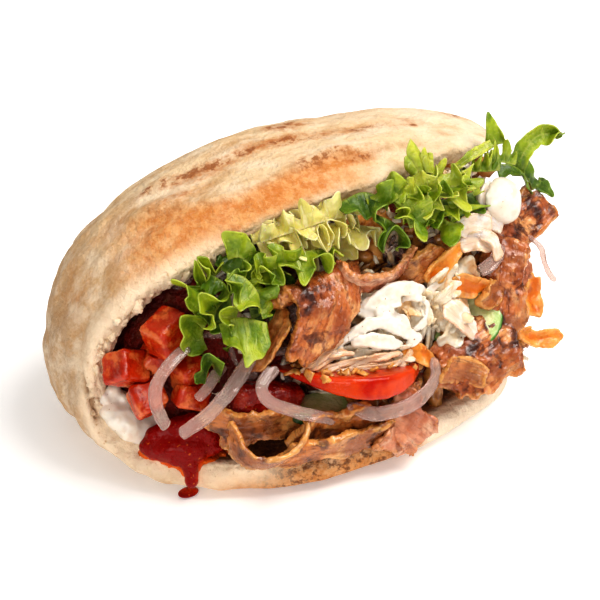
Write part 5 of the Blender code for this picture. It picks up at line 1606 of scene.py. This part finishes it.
# %% [markdown]
# The heap of white cabbage at the open end is treated in the same way, in the cabbage's own
# finish: pale, wet with dressing and stained where meat lay on it.

# %% The heap of cabbage under its shreds
heap = softened("cabbage_heap_heart", ["cabbage_heap"], 1.0, rounds=4, subdivide=1)
roughen(heap, (0.9, 5, 3), by=-1.6)
# white cabbage in its dressing
cabbage_mat, t = new_material("dressed_white_cabbage")
mm = in_mm(t)
colour = paint(t, "#F8EAD2", (mask(t, mm, 6, 0.42, 0.62), "#F0D5B0"),
               (times(t, mask(t, mm, 9, 0.54, 0.66), 0.7), "#E6AC6C"))
finish(t, colour, relief=[(mask(t, mm, 1.6, 0.3, 0.7), 0.2)], Roughness=0.25, Subsurface_Weight=0.4,
       Subsurface_Radius=(1, 0.9, 0.7), Subsurface_Scale=0.003, Coat_Weight=0.35, Coat_Roughness=0.12)
done(heap, cabbage_mat, "cabbage", "cabbage_heap")

# %% [markdown]
# The largest bits of cabbage in the heap are whole petals, cupped and as wide as a fingernail.
# They are typed one by one, because they are large enough to be recognised.

# %% The petals on the heap
PETALS = [
    # the line that each petal follows, its width, its thickness
    ([(12, -0.9, 4), (15.5, 1.8, 6), (20.8, 2.9, 5)], 11, 1.3),
    ([(11.8, -7.4, 4), (16.9, -4.5, 6), (23.6, -3.1, 4)], 12, 1.4),
    ([(8.3, -2, 5), (11.8, -0.8, 6), (13.6, -5, 5)], 9, 1.3),
    ([(9.9, -16.8, 4), (14.4, -14.8, 6), (18.3, -11.5, 5)], 9, 1.2),
    ([(-4.8, -2.7, 4), (-0.8, 0.5, 6), (5.3, 0.3, 5), (7.8, -4.1, 4)], 8, 1.2),
    ([(-29.3, -8.3, 4), (-23.5, -9.2, 5), (-16.3, -12.7, 5)], 5, 1.1),
    ([(-30.5, -5.7, 3), (-24.9, -4.4, 4), (-19.2, -4.5, 4)], 4.6, 1.0),
    ([(-15.2, -14.5, 5), (-8.1, -16.5, 6), (-1, -16.3, 5)], 6, 1.2),
    ([(-15, 13.4, 1), (-12.8, 10.6, 3), (-11.7, 5.8, 3)], 7, 1.2),
    ([(34.4, 11.2, 2), (39.2, 11.3, 4), (45.3, 8.1, 3)], 3.4, 0.9),
    ([(24.1, 8.2, 3), (26, 4, 5), (27.5, -0.8, 4)], 9, 1.2),
    ([(0.5, 1.7, 4), (2.8, -2.3, 6), (0.9, -6.6, 5)], 8, 1.0),
    ([(-24.2, -9.8, 6), (-18.8, -12, 7), (-11.5, -14.1, 6)], 5, 0.9),
    ([(-10.6, -13.6, 6), (-6.4, -14.4, 7), (-0.6, -15.7, 6)], 5, 0.9),
]
petals = bunch("cabbage_petals", "cabbage_heap", PETALS, cup=2.6, corner=0.8, ruffle=1.4, waves=1.7,
               voxel=0.45, fibre=0.2, bumps=0.25, fray=0.3, ragged=0.3)
done(petals, cabbage_mat, "cabbage")

# %% [markdown]
# Under the dollop and along the tomato slice lie strips of onion that softened in the dressing.
# They are narrower and flatter than the petals, and have the softened onion's finish.

# %% The strands of dressed onion
STRANDS = [
    # the line that each strand follows, its width, its thickness
    ([(33.3, 19.9, 2), (38.3, 20.9, 4), (45.3, 18.6, 4)], 8, 0.9),
    ([(34.4, 15.8, 2), (39.6, 15.6, 4), (45.7, 11.9, 3)], 6, 0.9),
    ([(39.8, 18.1, 5), (44.6, 13.8, 6), (46.1, 6.8, 4)], 5, 0.9),
    ([(39.9, 21.8, 2), (45.9, 21.5, 3), (51.6, 17, 2)], 6, 0.9),
    ([(-34.1, -9.5, 0), (-26.3, -7.3, 2), (-17.2, -6.6, 2)], 2.6, 1.0),
    ([(-31.3, -11, 0), (-22.3, -10.3, 2), (-12.6, -11.6, 3), (-3.1, -14.6, 2)], 2.8, 1.0),
    ([(-26.3, -11.7, 1), (-16.4, -13.4, 3), (-4.7, -15.6, 3), (5.3, -15.5, 1)], 2.4, 0.9),
    ([(-18.6, -11.7, 2), (-8.2, -11.7, 4), (2.5, -13.2, 3)], 2.8, 1.0),
    ([(-37.1, -10.1, -1), (-30.8, -7.5, 1), (-22.9, -3.8, 2), (-17.6, -2.4, 2)], 2.6, 1.0),
    ([(-27.8, -5.4, 1), (-21.7, -6.4, 3), (-13.9, -8.6, 4)], 2.4, 0.9),
    ([(-2.7, -17.6, 1), (1.7, -16, 3), (6.3, -12.8, 2)], 2.6, 1.0),
    ([(-24.1, -14.5, 0), (-18.5, -13.9, 2), (-10.3, -17, 2), (-1, -17.4, 1)], 2.2, 0.9),
]
strands = bunch("dressed_onion_strands", "white_sauce_slaw", STRANDS, cup=0.6, corner=0.6, ruffle=0.8,
                waves=1.5, voxel=0.45, fibre=0.2, bumps=0.2, fray=0.2, ragged=0.15)
done(strands, petal_mat, "onion")

# %% [markdown]
# The small shreds are far too many to type. A few shapes are made, kept out of the scene in a
# collection of their own, and picked from at random. A shred is a ribbon of seven steps, arched
# across its width, with its thickness from a modifier.

# %% The shreds' shapes


def shred(name, length, width, thick, bend, sweep, seed):
    """One short curved ribbon of few faces, lying flat round the origin."""
    chance = np.random.default_rng(seed)
    steps = 7
    s, line, _, side, face = bent_line(length, bend, sweep, steps)
    half = width / 2 * (1 - 0.5 * np.abs(s) ** 3) * chance.uniform(0.8, 1.2, steps + 1)
    rows = np.stack([line - side * half[:, None], line + face * 0.2 * width, line + side * half[:, None]], 1)
    rows = rows - line.mean(0)
    u = np.repeat(s[:, None], 3, 1)
    obj = new_piece(name, grid_mesh(name, rows, u, u * 0))
    body = obj.modifiers.new("Shred", "SOLIDIFY")
    body.thickness, body.offset = thick * MM, 0
    return settle(obj)


def shapes(name, sizes):
    """A hidden group of shreds for Geometry Nodes to pick from."""
    group = bpy.data.collections.new(name)
    for i, args in enumerate(sizes):
        obj = shred(f"{name}_{i}", *args, seed=i)
        scene.collection.objects.unlink(obj)
        group.objects.link(obj)
    return group


# %% [markdown]
# One Geometry Nodes group strews any of these shapes. It scatters points over the faces, denser
# where the piece says so, and puts a shape on each: lying along the surface, spun about its normal
# and leaning a little. At the end the copies are made real, as plain faces.

# %% Geometry Nodes that strew shapes over a surface


def strewer():
    """Points over the faces, one of the group's shapes on each, turned at random, all made real."""
    tree = bpy.data.node_groups.new("Strew over a surface", "GeometryNodeTree")
    face = tree.interface
    face.new_socket("Geometry", in_out="INPUT", socket_type="NodeSocketGeometry")
    for name, kind in (("Shapes", "Collection"), ("Finish", "Material"), ("Per square metre", "Float"),
                       ("Where", "Float"), ("Smallest", "Float"), ("Largest", "Float"), ("Lean", "Float"),
                       ("Stand off", "Float"), ("Seed", "Int")):
        face.new_socket(name, in_out="INPUT", socket_type="NodeSocket" + kind)
    face.new_socket("Geometry", in_out="OUTPUT", socket_type="NodeSocketGeometry")
    into = tree.nodes.new("NodeGroupInput").outputs
    dots = put(tree, "GeometryNodeDistributePointsOnFaces", {"Mesh": into["Geometry"], "Seed": into["Seed"]})
    dense = put(tree, "ShaderNodeMath", {0: into["Per square metre"], 1: into["Where"]}, operation="MULTIPLY")
    tree.links.new(dense.outputs[0], dots.inputs["Density"])
    lean = put(tree, "ShaderNodeMath", {0: into["Lean"], 1: -1.0}, operation="MULTIPLY")
    low = put(tree, "ShaderNodeCombineXYZ", {0: lean.outputs[0], 1: lean.outputs[0], 2: -math.pi})
    high = put(tree, "ShaderNodeCombineXYZ", {0: into["Lean"], 1: into["Lean"], 2: math.pi})
    spin = put(tree, "FunctionNodeRandomValue",
               {"Min": low.outputs[0], "Max": high.outputs[0], "Seed": into["Seed"]},
               data_type="FLOAT_VECTOR")
    twist = put(tree, "FunctionNodeRotateRotation",
                {"Rotation": dots.outputs["Rotation"], "Rotate By": spin.outputs["Value"]},
                rotation_space="LOCAL")
    size = put(tree, "FunctionNodeRandomValue",
               {2: into["Smallest"], 3: into["Largest"], "Seed": into["Seed"]}, data_type="FLOAT")
    group = put(tree, "GeometryNodeCollectionInfo",
                {"Collection": into["Shapes"], "Separate Children": True, "Reset Children": True})
    lift = put(tree, "ShaderNodeVectorMath", {0: dots.outputs["Normal"], "Scale": into["Stand off"]},
               operation="SCALE")
    raised = put(tree, "GeometryNodeSetPosition",
                 {"Geometry": dots.outputs["Points"], "Offset": lift.outputs[0]})
    placed = put(tree, "GeometryNodeInstanceOnPoints",
                 {"Points": raised.outputs[0], "Instance": group.outputs[0], "Pick Instance": True,
                  "Rotation": twist.outputs[0], "Scale": size.outputs[1]})
    real = put(tree, "GeometryNodeRealizeInstances", {0: placed.outputs[0]})
    faced = put(tree, "GeometryNodeSetMaterial", {"Geometry": real.outputs[0], "Material": into["Finish"]})
    tree.links.new(faced.outputs[0], tree.nodes.new("NodeGroupOutput").inputs[0])
    return tree


STREW = strewer()
print("nodes in the group that strews:", len(STREW.nodes))

# %% [markdown]
# `strew` uses the group on a copy of a piece, and leaves only the shapes. Its inputs are set by
# their identifiers. The density is multiplied by `where`, a number that each point of the piece
# carries, from 0 for nothing to 1 for the full count.

# %% Strewing shapes over a piece


def strew(name, base, shapes_of, look, slot, count, where, smallest=0.7, largest=1.2, lean=0.5, off=0.3,
          seed=1):
    """Strew shapes over the base where its points say so, count of them to a square centimetre."""
    obj = new_piece(name, base.data.copy())
    note(obj, "where", where)
    nodes = obj.modifiers.new("Strew", "NODES")
    nodes.node_group = STREW
    for item in STREW.interface.items_tree:
        if item.in_out == "OUTPUT" or item.name == "Geometry":
            continue
        value = {"Shapes": shapes_of, "Finish": look, "Per square metre": count * 1e4, "Smallest": smallest,
                 "Largest": largest, "Lean": lean, "Stand off": off * MM, "Seed": seed}.get(item.name)
        if item.name == "Where":
            nodes[item.identifier + "_use_attribute"] = True
            nodes[item.identifier + "_attribute_name"] = "where"
        else:
            nodes[item.identifier] = value
    settle(obj)
    return done(obj, look, slot)


# %% [markdown]
# Shreds that no one can see would only cost faces. So a ray goes out from each point of the core,
# to the front and to the open end, and where the bread stops both, nothing is strewn.

# %% Where the filling shows


def shows(obj):
    """1 for each point that looks out past the bread, 0 for the others."""
    at, normal = points_of(obj)
    free = []
    for p, n in zip(at, normal):
        start = Vector(p) * MM + Vector(n) * 2 * MM
        open_ways = sum(crust_under.ray_cast(start, way)[0] is None for way in (OUT, ALONG))
        free.append(1.0 if open_ways else 0.0)
    return np.array(free)


core_shows = shows(core)
print("share of the core that shows:", round(float(core_shows.mean()), 2))

# %% [markdown]
# Cabbage ribbons and slivers of onion fill the middle of the sandwich, and bits of meat its open
# half. The heap of cabbage is covered all over, closely, with short ribbons.

# %% The shreds
# length, width and thickness of each shape in mm, its bend and its sweep in degrees
ribbons = shapes("cabbage_ribbon", [(18, 2.6, 0.9, 60, 50), (14, 3.4, 0.9, -90, 40), (22, 2.2, 0.8, 50, -60),
                                    (12, 4.0, 1.0, 90, 10), (16, 2.4, 0.9, -60, 90), (11, 3.0, 0.8, 50, -80)])
bits = shapes("meat_bit",
              [(13, 6, 1.6, 40, 10), (9, 5, 1.8, -50, 0), (15, 5, 1.5, 60, 30), (11, 7, 1.6, -70, 20)])
place = points_of(core)[0]
open_half = np.clip((place[:, 0] + 15) / 30, 0, 1)
in_the_mouth = np.clip((place[:, 0] + 52) / 10, 0, 1) * ((place[:, 2] > 24) | (place[:, 0] > 50))
strew("cabbage_ribbons_in_the_heap", core, ribbons, cabbage_mat, "cabbage", 3.2,
      core_shows * in_the_mouth * (0.35 + 0.65 * open_half), lean=0.5, seed=3)
strew("onion_slivers_in_the_heap", core, ribbons, onion_mat, "onion", 1.4, core_shows * in_the_mouth,
      lean=0.4, seed=4)
strew("meat_bits_in_the_heap", core, bits, golden_meat, "meat", 1.8, core_shows * open_half, lean=0.6,
      off=1.0, seed=6)
strew("cabbage_ribbons_under_the_sauce", heap, ribbons, cabbage_mat, "cabbage", 5.0,
      np.ones(len(heap.data.vertices)), 0.6, 0.9, lean=0.35, seed=5)

# %% [markdown]
# The tomato slice is sprinkled with crumbs of crisp onion and of meat. Crumbs are uneven lumps: a
# coarse ball pushed about by noise. They fall only where the slice faces up, and not on its front
# edge.

# %% Crumbs on the tomato slice


def lumps(name, sizes):
    """A hidden group of small uneven lumps."""
    group = bpy.data.collections.new(name)
    for i, (wide, deep, high) in enumerate(sizes):
        bm = bmesh.new()
        bmesh.ops.create_uvsphere(bm, u_segments=8, v_segments=6, radius=0.5)
        for v in bm.verts:
            v.co = v.co * (1 + 0.9 * noise.noise(v.co * 3.0 + Vector((i * 9, 0, 0))))
            v.co = Vector((v.co.x * wide, v.co.y * deep, v.co.z * high)) * MM
        mesh = bpy.data.meshes.new(f"{name}_{i}")
        bm.to_mesh(mesh)
        bm.free()
        group.objects.link(bpy.data.objects.new(mesh.name, mesh))
    return group


at, normal = points_of(tomato)
on_top = (normal @ np.array((0, -0.3, 1)) > 0.5) * np.clip((at[:, 1] - at[:, 1].min() - 5) / 5, 0, 1)
spice = lumps("spiced_crumb",
              [(4.4, 2.8, 1.8), (2.2, 2.0, 1.4), (5.0, 2.2, 1.6), (1.5, 1.2, 1.0), (3.2, 3.0, 1.4)])
strew("spiced_crumbs_on_the_tomato", tomato, spice, crisp_mat, "crisp", 3.4, on_top, 0.3, 1.3, lean=1.0,
      off=0.2, seed=8)
strew("meat_crumbs_on_the_tomato", tomato, spice, golden_meat, "meat", 6.0, on_top, 0.4, 1.3, lean=1.0,
      off=0.2, seed=9)

# %% [markdown]
# Where the bread was torn open, tufts of its crumb stand up along the lip. They are the same
# lumps, in the bread's own finish, strewn within two millimetres of the lip at the closed end.

# %% Torn crumb along the lip
tufts = lumps("crumb_tuft", [(2.6, 2.0, 1.6), (1.8, 1.6, 1.4), (3.2, 1.8, 1.4), (1.5, 1.2, 1.2)])
at, normal = points_of(bread)
patchy = np.clip(0.5 + clouds(at, 6, 9), 0, 1)
lip = np.clip(1 - from_lip / 2.4, 0, 1) * (at[:, 0] < -40) * patchy * (at[:, 2] > 20)
strew("torn_crumb_along_the_lip", bread, tufts, crust, "bread", 22.0, lip, 0.8, 2.2, lean=1.5, off=-0.5,
      seed=10)
